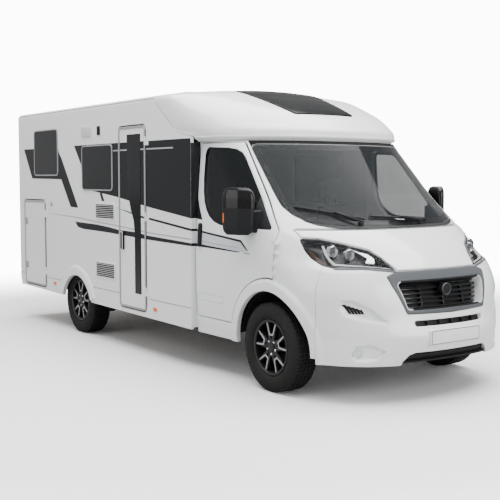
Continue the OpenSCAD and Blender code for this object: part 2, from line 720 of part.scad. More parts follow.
// Living body
module wall_outline() polygon([[rear_x, wall_foot_z], [wall_front_x, wall_foot_z],
    [wall_front_x, cap_foot_z + 40], [seam_foot_x + 20, seam_foot_z - 40], [seam_foot_x, seam_foot_z],
    [seam_top_x, wall_top_z], [rear_x, wall_top_z]]);
module rear_arch() translate([rear_arch_x, rear_arch_z]) circle(rear_arch_r, $fn = 96);

// Outside hinges of a flat door: barrels on a pin line ahead of its front edge
flat_pin_out = 10;
flat_barrel_r = 8;
flat_barrel_h = 40;
function hinge_heights(door, count) =
    [for (i = [0:count - 1]) door[2] + 190 + (door[3] - door[2] - 340) * i / (count - 1)];
module flat_hinge(door, dir, z) translate([door[1] + shut_gap / 2, -half_w, z]) {
    translate([0, -flat_pin_out, 0]) cylinder(flat_barrel_h, r = flat_barrel_r);
    box(dir > 0 ? [0, 50] : [-50, 0], [-5, 0], [0, flat_barrel_h]);
}

module side_wall_right() color("white") {
    along_y(-half_w, -half_w + wall_t) difference() {
        wall_outline();
        rear_arch();
        for (w = right_windows) round_rect(w, corner_r, fit_gap);
        for (w = fridge_vent_sizes) round_rect(w, 15, fit_gap);
        round_rect(entry_door, corner_r, shut_gap);
        round_rect(garage_door, corner_r, shut_gap);
    }
    for (z = hinge_heights(entry_door, 3)) flat_hinge(entry_door, 1, z - flat_barrel_h - 0.3);
    for (z = hinge_heights(garage_door, 2)) flat_hinge(garage_door, 1, z - flat_barrel_h - 0.3);
}

module side_wall_left() color("white") along_y(half_w - wall_t, half_w) difference() {
    wall_outline();
    rear_arch();
    for (w = left_windows) round_rect(w, corner_r, fit_gap);
}

// Half profile of the roof: corner arc, then the crown
function crown_z(y, inset) = roof_edge_z - inset
    + roof_crown_h * (1 - pow(y / (half_w - roof_corner_r), 2));
module roof_profile(inset) {
    r = roof_corner_r - inset;
    half = concat([[half_w - inset, wall_top_z]],
        [for (a = [0:15:90]) [half_w - roof_corner_r + r * cos(a), wall_top_z + r * sin(a)]],
        [for (i = [7:-1:0]) let (y = (half_w - roof_corner_r) * i / 8) [y, crown_z(y, inset)]]);
    polygon(concat(half, [for (i = [len(half) - 2:-1:0]) [-half[i][0], half[i][1]]]));
}
module roof_panel() color("white") along_x(rear_x, seam_top_x) difference() {
    roof_profile(0);
    roof_profile(wall_t);
}
module rear_wall() color("white") along_x(rear_x, rear_x + wall_t) {
    intersection() {
        roof_profile(wall_t + fit_gap);
        translate([-half_w + wall_t, wall_top_z]) square([living_w - 2 * wall_t, 200]);
    }
    translate([-half_w + wall_t, wall_foot_z]) square([living_w - 2 * wall_t, wall_top_z - wall_foot_z]);
}

step_d = 300;
// The rear wheelhouses' inner wall stands clear of the tyre
house_y = rear_track / 2 - tyre_w / 2 - 118.5;
module floor_panel() color("tan") difference() {
    union() {
        box([garage_front_x, wall_front_x], [-half_w + wall_t, half_w - wall_t],
            [floor_z, floor_z + floor_t]);
        box([rear_x + wall_t, garage_front_x], [-half_w + wall_t, half_w - wall_t],
            [garage_floor_z, garage_floor_z + tray_t]);
        box([garage_front_x - 20, garage_front_x], [-half_w + wall_t, half_w - wall_t],
            [garage_floor_z, floor_z + floor_t]);
        box(step_x, [-half_w + wall_t, -half_w + wall_t + step_d + 15], [garage_floor_z, floor_z + floor_t]);
    }
    box([entry_door[0], entry_door[1]], [-half_w, -half_w + wall_t + step_d],
        [garage_floor_z + tray_t, floor_z + 200]);
    both_sides() box([rear_axle_x - 430, rear_axle_x + 430], [house_y, half_w], [0, 900]);
}

house_r = 420;
house_t = 8;
module rear_wheelhouses() color("black") both_sides() difference() {
    translate([rear_axle_x, half_w - wall_t - fit_gap, tyre_r]) rotate([90, 0, 0])
        cylinder(half_w - wall_t - fit_gap - house_y, r = house_r + house_t);
    translate([rear_axle_x, half_w, tyre_r]) rotate([90, 0, 0])
        cylinder(half_w - house_y - house_t, r = house_r);
    box([rear_axle_x - 500, rear_axle_x + 500], [house_y - 1, half_w], [-200, floor_z]);
}

module skirt_outline() difference() {
    polygon([[rear_x + 70, skirt_foot_z + 10], [wall_front_x, skirt_foot_z - 30], [wall_front_x, wall_foot_z],
        [rear_x, wall_foot_z], [rear_x, skirt_foot_z + 90]]);
    rear_arch();
}
module skirts() color("white") {
    along_y(-half_w, -half_w + 25) difference() {
        skirt_outline();
        round_rect(entry_door, corner_r, shut_gap);
        round_rect(garage_door, corner_r, shut_gap);
    }
    along_y(half_w - 25, half_w) skirt_outline();
}

module cap_region() along_y(-1300, 1300) polygon([[seam_top_x, 2700], [seam_top_x, wall_top_z],
    [seam_foot_x, seam_foot_z], [seam_foot_x + 20, seam_foot_z - 40], [wall_front_x, cap_foot_z + 40],
    [wall_front_x, cap_foot_z], [front_axle_x + 100, cap_foot_z], [front_axle_x + 100, 2700]]);
module skylight_outline(grow = 0) offset($fn = outline_fn, r = 30 + grow) offset(delta = -30) polygon([
    [front_axle_x - 1300, -440], [front_axle_x - 560, -330], [front_axle_x - 560, 330],
    [front_axle_x - 1300, 440]]);

module front_cap() color("white") difference() {
    union() {
        intersection() {
            difference() { cap_form(0); translate([0, 0, -cap_t]) cap_form(cap_t); }
            cap_region();
        }
        intersection() {
            difference() { cap_form(1); cab_form(cab_t); }
            box([wall_front_x, front_axle_x], [-half_w, half_w], [cap_foot_z, cap_foot_z + 12]);
        }
    }
    translate([0, 0, 2000]) linear_extrude(600) skylight_outline(fit_gap);
}
module cap_skylight() color("black") intersection() {
    difference() { translate([0, 0, 10]) cap_form(-4); translate([0, 0, -cap_t]) cap_form(cap_t); }
    translate([0, 0, 2000]) linear_extrude(600) skylight_outline();
}

// Pane of the entry door: wide above, narrowing to a strip, drawn in by g
function across(share) = entry_door[0] + share * entry_door_w;
function entry_pane(g) = [
    [across(0.325) + g, entry_door[3] - 80 - g], [across(0.815) - g, entry_door[3] - 80 - g],
    [across(0.815) - g, entry_door[2] + 155 + g], [across(0.59) + g, entry_door[2] + 155 + g],
    [across(0.59) + g, entry_door[3] - 1007], [across(0.555) + g, entry_door[3] - 892],
    [across(0.45) + g, entry_door[3] - 785], [across(0.36) + g, entry_door[3] - 648],
    [across(0.325) + g, entry_door[3] - 517]];
frame_out = 5;
frame_w = 20;
// The frame keeps clear of the hinge barrels
frame_inset = 6;
module door_frame(door) along_y(-half_w - frame_out, -half_w) difference() {
    round_rect(door, corner_r, -frame_inset);
    round_rect(door, corner_r, -frame_inset - frame_w);
}
module entry_door_leaf() color("white") {
    difference() {
        along_y(-half_w, -half_w + wall_t) round_rect(entry_door, corner_r);
        along_y(-half_w - 1, -half_w + 12) polygon(entry_pane(0));
    }
    door_frame(entry_door);
    along_y(-half_w - 26, -half_w) round_rect([across(0.115), across(0.2), 972, 1148], 18);
    for (z = hinge_heights(entry_door, 3)) flat_hinge(entry_door, -1, z);
}
module entry_door_window() color("black") along_y(-half_w - 3, -half_w + 12 - fit_gap)
    polygon(entry_pane(fit_gap));
module garage_door_leaf() color("white") {
    along_y(-half_w, -half_w + wall_t) round_rect(garage_door, corner_r);
    door_frame(garage_door);
    for (share = [0.225, 0.745]) along_y(-half_w - 9, -half_w)
        round_rect([garage_door[0] + 42, garage_door[0] + 98, garage_door[2] + share * garage_door_h - 38,
            garage_door[2] + share * garage_door_h + 38], 12);
    for (z = hinge_heights(garage_door, 2)) flat_hinge(garage_door, -1, z);
}

pane_out = 8;
module windows_right() color("slategray") along_y(-half_w - pane_out, -half_w + 18)
    for (w = right_windows) round_rect(w, corner_r);
module windows_left() color("slategray") along_y(half_w - 18, half_w + pane_out)
    for (w = left_windows) round_rect(w, corner_r);

module fridge_vents() color("white") along_y(-half_w - 6, -half_w + wall_t)
    for (w = fridge_vent_sizes) difference() {
        round_rect(w, 15);
        for (z = [w[2] + 28:18:w[3] - 30]) translate([w[0] + 25, z]) square([w[1] - w[0] - 50, 9]);
    }

module rear_bumper() color("white") difference() {
    union() {
        along_y(-half_w + 20, half_w - 20) polygon([[rear_x, skirt_foot_z + 30], [rear_x, 640],
            [-vehicle_l / 2 + 18, 640], [-vehicle_l / 2, 610], [-vehicle_l / 2, 470],
            [-vehicle_l / 2 + 22, skirt_foot_z + 12], [rear_x - 8, skirt_foot_z]]);
    }
    box([-vehicle_l / 2 - 5, -vehicle_l / 2 + 15], [-290, 290], [450, 590]);
    both_sides() box([-vehicle_l / 2 - 5, -vehicle_l / 2 + 6], [half_w - 250, half_w - 110], [520, 560]);
}
module rear_lamps() color("red") both_sides() {
    along_x(rear_x - lamp_d + 10, rear_x) round_rect([half_w - 190, half_w - 25, 660, 1130], 30);
    for (z = [740, 895, 1050]) translate([rear_x - lamp_d + 2, half_w - 107, z]) rotate([0, 90, 0])
        cylinder(12, r = 62);
}

hatch_half = 260;
hatch = [-hatch_half, hatch_half, -hatch_half, hatch_half];
module roof_hatches() color("lightgray")
    for (x = [rear_x + 650, rear_axle_x + 745]) {
        base_z = crown_z(250, 0) - 2;
        translate([x, 0, 0]) difference() {
            union() {
                translate([-hatch_half, -hatch_half, base_z - 40]) cube([2 * hatch_half, 2 * hatch_half, 78]);
                hull() {
                    translate([0, 0, base_z + 38]) linear_extrude(8) round_rect(hatch, 50, -10);
                    translate([0, 0, base_z + 66]) linear_extrude(4) round_rect(hatch, 100, -60);
                }
            }
            along_x(-400, 400) roof_profile(0);
        }
    }

chassis_frame();
cross_members();
front_subframe();
rear_axle();
engine_block();
radiator();
underfloor_tanks();
exhaust();
knuckle_left();
knuckle_right();
tyre_front_left();
tyre_front_right();
tyre_rear_left();
tyre_rear_right();
wheel_front_left();
wheel_front_right();
wheel_rear_left();
wheel_rear_right();
cab_body();
cab_hinges();
cab_floor();
front_wheelhouses();
bonnet();
front_bumper();
grille_surround();
grille();
headlamps();
windscreen();
cab_door_left();
cab_door_right();
door_glass_left();
door_glass_right();
mirror_left();
mirror_right();
dashboard();
cab_seats();
steering_wheel();
side_wall_left();
side_wall_right();
rear_wall();
roof_panel();
floor_panel();
rear_wheelhouses();
front_cap();
cap_skylight();
entry_door_leaf();
entry_door_window();
garage_door_leaf();
windows_left();
windows_right();
fridge_vents();
skirts();
rear_bumper();
rear_lamps();
roof_hatches();
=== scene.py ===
# %% [markdown]
# # A low-profile motorhome
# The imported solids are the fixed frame: they say where every wall, wheel and door is. This lesson dresses
# them. The moulded cab and roof cap are rebuilt as fine, smooth skins, the flat living body keeps its
# solids and gets trim, windows and stripes, and each finish is made from nodes.

# %% Load the frame
import math

import bpy
import numpy as np
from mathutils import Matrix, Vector


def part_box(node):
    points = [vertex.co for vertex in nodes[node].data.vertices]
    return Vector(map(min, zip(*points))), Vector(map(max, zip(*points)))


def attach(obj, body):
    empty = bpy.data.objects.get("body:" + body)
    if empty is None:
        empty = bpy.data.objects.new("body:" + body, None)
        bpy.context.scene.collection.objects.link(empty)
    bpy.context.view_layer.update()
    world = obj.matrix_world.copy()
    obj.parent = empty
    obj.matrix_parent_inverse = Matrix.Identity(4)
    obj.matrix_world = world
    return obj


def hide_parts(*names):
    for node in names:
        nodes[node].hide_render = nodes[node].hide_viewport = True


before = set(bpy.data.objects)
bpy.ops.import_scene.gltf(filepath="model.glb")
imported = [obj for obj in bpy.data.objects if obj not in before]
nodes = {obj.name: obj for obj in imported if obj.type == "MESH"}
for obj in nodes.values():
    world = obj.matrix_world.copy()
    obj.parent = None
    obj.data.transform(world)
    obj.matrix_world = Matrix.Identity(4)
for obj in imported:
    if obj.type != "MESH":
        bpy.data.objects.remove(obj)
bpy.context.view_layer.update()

# %% [markdown]
# ## Places taken from the frame
# Every later size starts from a few places on the solids, so that trim follows the part it sits on.
# The numbers could be typed in again, but then they would stay behind when a solid changes.
# The vehicle looks along +X, its left is +Y, and the right side is the one with the entry door.

# %% Places
tyre_low, tyre_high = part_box("tyre_front_right")
axle_x = (tyre_low.x + tyre_high.x) / 2
tyre_r = (tyre_high.z - tyre_low.z) / 2
rear_low, rear_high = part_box("tyre_rear_right")
rear_axle_x = (rear_low.x + rear_high.x) / 2
wall_low, wall_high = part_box("side_wall_left")
half_w = wall_high.y
rear_x = wall_low.x
wall_front_x = wall_high.x
wheel_places = {
    "front_right": (axle_x, (tyre_low.y + tyre_high.y) / 2, -1),
    "front_left": (axle_x, -(tyre_low.y + tyre_high.y) / 2, 1),
    "rear_right": (rear_axle_x, (rear_low.y + rear_high.y) / 2, -1),
    "rear_left": (rear_axle_x, -(rear_low.y + rear_high.y) / 2, 1),
}
print("axles at", round(axle_x, 3), round(rear_axle_x, 3), "half width", round(half_w, 3))

# %% [markdown]
# ## Shader maths in plain expressions
# A finish is easier to read as arithmetic than as a web of links. `Val` wraps one socket, so that
# `1 - mask * 0.2` adds its own Math nodes. `Finish.node` makes any other node in one line.

# %% Shader helpers
class Val:
    """One shader value. Arithmetic on it adds Math nodes."""

    def __init__(self, tree, socket):
        self.tree = tree
        self.socket = socket

    def math(self, operation, first, second):
        made = self.tree.nodes.new("ShaderNodeMath")
        made.operation = operation
        for place, value in zip(made.inputs, (first, second)):
            if isinstance(value, Val):
                self.tree.links.new(value.socket, place)
            else:
                place.default_value = value
        return Val(self.tree, made.outputs[0])

    def __add__(self, other):
        return self.math("ADD", self, other)

    def __sub__(self, other):
        return self.math("SUBTRACT", self, other)

    def __rsub__(self, other):
        return self.math("SUBTRACT", other, self)

    def __mul__(self, other):
        return self.math("MULTIPLY", self, other)

    __radd__ = __add__
    __rmul__ = __mul__


class Finish:
    """A node material on one Principled shader."""

    def __init__(self, name, **sockets):
        self.material = bpy.data.materials.new(name)
        self.material.use_nodes = True
        self.tree = self.material.node_tree
        self.shader = self.tree.nodes["Principled BSDF"]
        self.place = self.node("TexCoord", out="Object")
        self.feed(self.shader, sockets)

    def feed(self, node, values):
        for key, value in values.items():
            socket = node.inputs[key.replace("_", " ") if isinstance(key, str) else key]
            if isinstance(value, Val):
                self.tree.links.new(value.socket, socket)
            else:
                socket.default_value = value

    def node(self, kind, settings=None, inputs=None, out=0):
        made = self.tree.nodes.new("ShaderNode" + kind)
        for key, value in (settings or {}).items():
            if key == "stops":
                ramp = made.color_ramp.elements
                while len(ramp) < len(value):
                    ramp.new(1)
                for stop, (at, colour) in zip(ramp, value):
                    stop.position = at
                    stop.color = colour
            else:
                setattr(made, key, value)
        self.feed(made, inputs or {})
        return Val(self.tree, made.outputs[out])

    def noise(self, scale, detail=3.0, rough=0.5):
        return self.node("TexNoise", inputs={"Vector": self.place, "Scale": scale, "Detail": detail,
                                             "Roughness": rough})

    def axis(self, name):
        return self.node("SeparateXYZ", inputs={0: self.place}, out=name)

    def mix(self, amount, low, high):
        return self.node("Mix", {"data_type": "RGBA"}, {0: amount, 6: low, 7: high}, out=2)

    def step(self, value, start, end):
        return self.node("MapRange", {"interpolation_type": "SMOOTHSTEP"},
                         {"Value": value, "From Min": start, "From Max": end})

    def bump(self, height, strength, distance):
        self.feed(self.shader, {"Normal": self.node("Bump", inputs={
            "Height": height, "Strength": strength, "Distance": distance})})
        return self


def rgb(r, g=None, b=None):
    return (r, r if g is None else g, r if b is None else b, 1.0)


# %% [markdown]
# ## Finishes
# White gel-coat and white cab paint carry the vehicle, so they get a clear coat, a faint tone change and a
# little road film near the sills. An image could carry that film, but noise and height need no file and
# no unwrapping, and they run on across the gaps between panels.

# %% Paints and panels
def painted(name, tone, rough, coat, peel):
    f = Finish(name, Roughness=rough, Coat_Roughness=0.04, IOR=1.5)
    drift = f.noise(1.7)
    film = f.step(f.axis("Z"), 0.62, 0.28) * f.noise(9.0)
    clean = f.mix(drift * 0.35, rgb(*[c * 0.985 for c in tone]), rgb(*tone))
    f.feed(f.shader, {"Base Color": f.mix(film * 0.12, clean, rgb(0.47, 0.45, 0.42)),
                      "Coat Weight": coat - film * 0.5,
                      "Roughness": rough + film * 0.2 + drift * 0.03})
    return f.bump(f.noise(peel, 2.0), 0.02, 0.002).material


white_paint = painted("white_paint", (0.84, 0.85, 0.865), 0.22, 0.7, 260.0)
white_panel = painted("white_panel", (0.85, 0.855, 0.865), 0.30, 0.45, 120.0)
grey_frame = painted("grey_frame", (0.30, 0.31, 0.325), 0.36, 0.1, 200.0)
print("paints:", len(bpy.data.materials))


# %% [markdown]
# Plastics differ in tone, gloss and grain. Grain is bump here, because it is far too fine for a mesh,
# and the decorative films on the walls are the same plastic without it.

# %% Plastics and films
def plastic(name, tone, rough, grain, depth, coat=0.0, shine=0.5):
    f = Finish(name, IOR=1.46, Specular_IOR_Level=shine)
    spread = f.noise(3.0)
    f.feed(f.shader, {"Base Color": f.mix(spread, rgb(*[c * 0.8 for c in tone]), rgb(*tone)),
                      "Roughness": rough + spread * 0.1, "Coat Weight": coat})
    return f.bump(f.noise(grain, 4.0), depth, 0.001).material


black_plastic = plastic("black_plastic", (0.010, 0.0105, 0.012), 0.45, 900.0, 0.25, 0.0, 0.25)
gloss_black = plastic("gloss_black", (0.006, 0.006, 0.007), 0.12, 60.0, 0.01, 0.15, 0.3)
charcoal_film = plastic("charcoal_film", (0.013, 0.014, 0.016), 0.28, 60.0, 0.01, 0.0, 0.2)
silver_film = plastic("silver_film", (0.42, 0.43, 0.45), 0.3, 60.0, 0.01, 0.2)
pale_film = plastic("pale_film", (0.60, 0.63, 0.68), 0.3, 60.0, 0.01, 0.2)
grey_trim = plastic("grey_trim", (0.085, 0.092, 0.10), 0.36, 500.0, 0.03, 0.1, 0.3)
pale_plastic = plastic("pale_plastic", (0.66, 0.67, 0.68), 0.4, 600.0, 0.08)
tank_plastic = plastic("tank_plastic", (0.015, 0.015, 0.016), 0.65, 120.0, 0.3, 0.0, 0.2)
seal_rubber = plastic("seal_rubber", (0.008, 0.008, 0.009), 0.7, 300.0, 0.2, 0.0, 0.2)
print("with plastics:", len(bpy.data.materials))


# %% [markdown]
# Metals: bright reflectors, machined alloy, dusty chassis paint and cast iron differ mostly in how rough
# they are and how much the surface is broken up. One function with a few numbers is enough for them all.

# %% Metals
def metal(name, tone, rough, patch_scale, patch, metallic=1.0, grain=200.0, depth=0.05):
    f = Finish(name, Metallic=metallic)
    spread = f.noise(patch_scale, 5.0, 0.6)
    f.feed(f.shader, {"Base Color": f.mix(spread, rgb(*[c * (1 - patch) for c in tone]), rgb(*tone)),
                      "Roughness": rough + spread * patch * 0.4})
    return f.bump(f.noise(grain), depth, 0.001).material


chrome = metal("bright_reflector", (0.86, 0.87, 0.89), 0.06, 6.0, 0.05, depth=0.0)
machined = metal("machined_alloy", (0.52, 0.53, 0.55), 0.26, 30.0, 0.08, grain=900.0)
wheel_black = metal("wheel_black", (0.014, 0.014, 0.016), 0.3, 20.0, 0.2, 0.3)
chassis_paint = metal("chassis_paint", (0.045, 0.045, 0.047), 0.55, 6.0, 0.5, 0.2, 90.0, 0.2)
cast_iron = metal("cast_iron", (0.16, 0.155, 0.15), 0.6, 12.0, 0.4, 0.6, 60.0, 0.5)
exhaust_steel = metal("exhaust_steel", (0.34, 0.32, 0.30), 0.45, 5.0, 0.4)
print("with metals:", len(bpy.data.materials))


# %% [markdown]
# Glass: the cab's panes are thin, so a dark tint with low alpha shows the seats behind and still reflects.
# Refraction would need thick panes and many samples. The living body's windows are smoked acrylic, which
# looks black from outside, so they are plain dark plastic. Lamps have clear, red and amber lenses.

# %% Glass and lenses
def clear_pane(name, tone, alpha, rough=0.02, shine=0.5):
    f = Finish(name, Alpha=alpha, IOR=1.5, Specular_IOR_Level=shine)
    smear = f.noise(4.0)
    f.feed(f.shader, {"Base Color": f.mix(smear, rgb(*[c * 0.85 for c in tone]), rgb(*tone)),
                      "Roughness": rough + smear * 0.03})
    return f.material


cab_glass = clear_pane("cab_glass", (0.016, 0.020, 0.022), 0.46, shine=0.14)
side_glass = clear_pane("side_glass", (0.008, 0.010, 0.011), 0.72, shine=0.25)
lamp_clear = clear_pane("lamp_clear", (0.05, 0.052, 0.055), 0.10, shine=0.2)
smoked_acrylic = plastic("smoked_acrylic", (0.006, 0.0065, 0.008), 0.08, 20.0, 0.005, 0.0, 0.3)
skylight_pane = plastic("skylight_pane", (0.004, 0.0045, 0.005), 0.10, 20.0, 0.005, 0.0, 0.02)
amber_lens = plastic("amber_lens", (0.80, 0.17, 0.008), 0.2, 80.0, 0.03, 0.2)
smoked_amber = plastic("smoked_amber", (0.055, 0.020, 0.008), 0.15, 80.0, 0.03, 0.1, 0.3)
smoked_lens = plastic("smoked_lens", (0.10, 0.105, 0.11), 0.1, 80.0, 0.03, 0.2, 0.4)
red_lens = plastic("red_lens", (0.42, 0.012, 0.014), 0.13, 80.0, 0.03, 0.6)
white_lens = plastic("white_lens", (0.75, 0.76, 0.78), 0.12, 80.0, 0.03, 0.6)
print("with glass and lenses:", len(bpy.data.materials))


# %% [markdown]
# Tyre rubber is grey-black and dusty on its tread. Seat cloth is a fine over-and-under weave, made from two
# crossed waves, and the floor is a printed plank board. Waves keep the thread's size without a map.

# %% Rubber, cloth and board
def tyre_rubber_finish():
    f = Finish("tyre_rubber", IOR=1.45, Specular_IOR_Level=0.2)
    dust = f.noise(14.0, 5.0)
    f.feed(f.shader, {"Base Color": f.mix(dust, rgb(0.008), rgb(0.022, 0.021, 0.020)),
                      "Roughness": 0.62 + dust * 0.2})
    return f.bump(f.noise(350.0), 0.15, 0.001).material


def cloth(name, dark, light):
    f = Finish(name, Roughness=0.9, Sheen_Weight=0.3)
    warp = f.node("TexWave", {"bands_direction": "X"},
                  {"Vector": f.place, "Scale": 40.0, "Distortion": 0.6})
    weft = f.node("TexWave", {"bands_direction": "Z"},
                  {"Vector": f.place, "Scale": 40.0, "Distortion": 0.6})
    weave = warp * weft
    f.feed(f.shader, {"Base Color": f.mix(weave * 0.3 + f.noise(5.0) * 0.5, rgb(*dark), rgb(*light))})
    return f.bump(weave, 0.4, 0.001).material


def board():
    f = Finish("plank_board", Roughness=0.5)
    stretched = f.node("Mapping", inputs={"Vector": f.place, "Scale": (1.2, 14.0, 14.0)})
    grain = f.node("TexNoise", inputs={"Vector": stretched, "Scale": 3.0, "Detail": 6.0})
    f.feed(f.shader, {"Base Color": f.mix(grain, rgb(0.20, 0.15, 0.11), rgb(0.42, 0.34, 0.26))})
    return f.bump(grain, 0.1, 0.002).material


tyre_rubber = tyre_rubber_finish()
seat_cloth = cloth("seat_cloth", (0.070, 0.062, 0.055), (0.13, 0.118, 0.105))
plank_board = board()
print("finishes:", len(bpy.data.materials))

# %% [markdown]
# ## Turning points into pieces
# All pieces come through one function.

# %% Piece helpers
def piece(name, points, faces, material, body="root", slot=None, replaces=(), sharp=35.0):
    mesh = bpy.data.meshes.new(name)
    mesh.from_pydata(np.asarray(points, float).tolist(), [], [list(map(int, f)) for f in faces])
    mesh.validate()
    made = bpy.data.objects.new(name, mesh)
    bpy.context.scene.collection.objects.link(made)
    mesh.materials.append(material)
    mesh.polygons.foreach_set("use_smooth", [True] * len(mesh.polygons))
    mesh.set_sharp_from_angle(angle=math.radians(sharp))
    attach(made, body)
    if replaces:
        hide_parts(*replaces)
    return made


def join(parts):
    """Several (points, faces) as one."""
    points, faces, count = [], [], 0
    for p, f in parts:
        points.append(np.asarray(p, float))
        faces += [[i + count for i in face] for face in f]
        count += len(p)
    return np.concatenate(points), faces


def flip_y(points, faces):
    """The same piece on the vehicle's other side."""
    return np.asarray(points) * (1, -1, 1), [list(f)[::-1] for f in faces]


def as_built(points, faces):
    return points, faces


SIDES = {"right": as_built, "left": flip_y}


def pair(parts):
    """A right-hand piece and its mirror image as one."""
    return join([parts, flip_y(*parts)])


def bevelled(made, width, segments=2):
    soft = made.modifiers.new("soft_edges", "BEVEL")
    soft.width = width
    soft.segments = segments
    soft.limit_method = "ANGLE"
    return made


# %% [markdown]
# ## Smooth lofts for the moulded cab
# The solids' cab runs through a short table of levels. Straight facets between levels are fine for solids,
# but paint shows them. Here a monotone cubic runs through the same levels, each level's outline is a
# superellipse, and points are spread evenly along both, so that highlights flow. A subdivided cage would
# be smooth too, but it would shrink away from the solids.

# %% Loft
def monotone(knots, values, at):
    """Cubic through the knots that never overshoots between them."""
    gap = np.diff(knots)
    rise = np.diff(values) / gap
    slope = np.zeros_like(values)
    slope[0], slope[-1] = rise[0], rise[-1]
    for i in range(1, len(values) - 1):
        if rise[i - 1] * rise[i] > 0:
            w1, w2 = 2 * gap[i] + gap[i - 1], gap[i] + 2 * gap[i - 1]
            slope[i] = (w1 + w2) / (w1 / rise[i - 1] + w2 / rise[i])
    i = np.clip(np.searchsorted(knots, at) - 1, 0, len(gap) - 1)
    t = (at - knots[i]) / gap[i]
    return ((1 + 2 * t) * (1 - t) ** 2 * values[i] + t * (1 - t) ** 2 * gap[i] * slope[i]
            + t * t * (3 - 2 * t) * values[i + 1] + t * t * (t - 1) * gap[i] * slope[i + 1])


def loft(levels, back_x, spacing, shape=None):
    """Grid of (point, outward normal) rows, and its triangles."""
    table = np.array(levels, float)
    fine = np.linspace(table[0, 0], table[-1, 0], 3000)
    nose, width, start, power = (monotone(table[:, 0], table[:, k], fine) for k in range(1, 5))
    run = np.concatenate([[0], np.cumsum(np.hypot(np.diff(fine), np.maximum(
        abs(np.diff(nose)), abs(np.diff(width)))))])
    rows = np.linspace(0, run[-1], int(run[-1] / spacing) + 2)
    nose, width, start, power, height = (np.interp(rows, run, c) for c in (nose, width, start, power, fine))
    s = np.linspace(0, 1, 500)
    angle = math.pi / 2 * s * s * (3 - 2 * s)
    columns = int((axle_x + nose.max() - back_x + width.max()) / spacing)
    grid = np.zeros((len(rows), 2 * columns - 1, 3))
    for i in range(len(rows)):
        x = axle_x + start[i] + (nose[i] - start[i]) * np.sin(angle) ** (2 / power[i])
        y = width[i] * np.cos(angle) ** (2 / power[i])
        x, y = np.concatenate([[back_x], x]), np.concatenate([[width[i]], y])
        along = np.concatenate([[0], np.cumsum(np.hypot(np.diff(x), np.diff(y)))])
        at = np.linspace(0, along[-1], columns)
        half_x, half_y = np.interp(at, along, x), np.interp(at, along, y)
        half_y[-1] = 0
        grid[i, :, 0] = np.concatenate([half_x, half_x[-2::-1]])
        grid[i, :, 1] = np.concatenate([-half_y, half_y[-2::-1]])
        grid[i, :, 2] = height[i]
    if shape:
        grid = shape(grid)
    normal = np.cross(np.gradient(grid, axis=1), np.gradient(grid, axis=0))
    normal /= np.linalg.norm(normal, axis=2, keepdims=True) + 1e-12
    corner = np.arange(grid.shape[0] * grid.shape[1]).reshape(grid.shape[:2])
    a, b, c, d = corner[:-1, :-1], corner[:-1, 1:], corner[1:, 1:], corner[1:, :-1]
    faces = np.concatenate([np.stack([a, b, c], 2).reshape(-1, 3), np.stack([a, c, d], 2).reshape(-1, 3)])
    return np.concatenate([grid, normal], 2).reshape(-1, 6), faces


# %% [markdown]
# ## Cutting panels out of a skin
# A shut line is where a signed distance is zero. Triangles that the line crosses are split exactly on it,
# so edges stay crisp at any spacing. Boolean cutters could do it, but they leave slivers on a dense skin.

# %% Panel cutter
def split(points, faces, value):
    """Adds points where value is zero along edges, and splits the triangles there."""
    points, value = points.copy(), value.copy()

    def crossing():
        pairs, which = np.unique(np.sort(faces[:, [0, 1, 1, 2, 2, 0]].reshape(-1, 2), axis=1),
                                 axis=0, return_inverse=True)
        hit = value[pairs[:, 0]] * value[pairs[:, 1]] < 0
        return pairs, which.reshape(-1, 3), hit

    pairs, which, hit = crossing()
    a, b = pairs[hit].T
    share = value[a] / (value[a] - value[b])
    met = points[a] + (points[b] - points[a]) * share[:, None]
    for close, end in ((share < 0.15, a), (share > 0.85, b)):
        points[end[close]] = met[close]
        value[end[close]] = 0
    pairs, which, hit = crossing()
    a, b = pairs[hit].T
    share = value[a] / (value[a] - value[b])
    fresh = np.zeros(len(pairs), int)
    fresh[hit] = len(points) + np.arange(hit.sum())
    points = np.concatenate([points, points[a] + (points[b] - points[a]) * share[:, None]])
    value = np.concatenate([value, np.zeros(hit.sum())])
    cut, mid = hit[which], fresh[which]
    made = [faces[cut.sum(1) == 0]]
    for k in range(3):
        turn = [k, (k + 1) % 3, (k + 2) % 3]
        f, m, c = faces[:, turn], mid[:, turn], cut[:, turn]
        one = c[:, 0] & ~c[:, 1] & ~c[:, 2]
        made += [np.stack([f[one, 0], m[one, 0], f[one, 2]], 1),
                 np.stack([m[one, 0], f[one, 1], f[one, 2]], 1)]
        two = c[:, 0] & ~c[:, 1] & c[:, 2]
        made += [np.stack([f[two, 0], m[two, 0], m[two, 2]], 1),
                 np.stack([m[two, 0], f[two, 1], f[two, 2]], 1),
                 np.stack([m[two, 0], f[two, 2], m[two, 2]], 1)]
    return points, np.concatenate(made), value


def used_only(points, faces):
    used, fresh = np.unique(faces, return_inverse=True)
    return points[used], fresh.reshape(-1, 3)


def clip(points, faces, rule):
    """Keeps what lies where rule is negative."""
    points, faces, value = split(points, faces, rule(points[:, :3]))
    return used_only(points, faces[value[faces].sum(1) < 0])


# %% [markdown]
# A cut sheet has no edge to catch the light. Each panel gets a rolled edge, a rim and an inner skin,
# as a pressed sheet has. A bevel on so dense a mesh would be slow and would pinch at the corners.

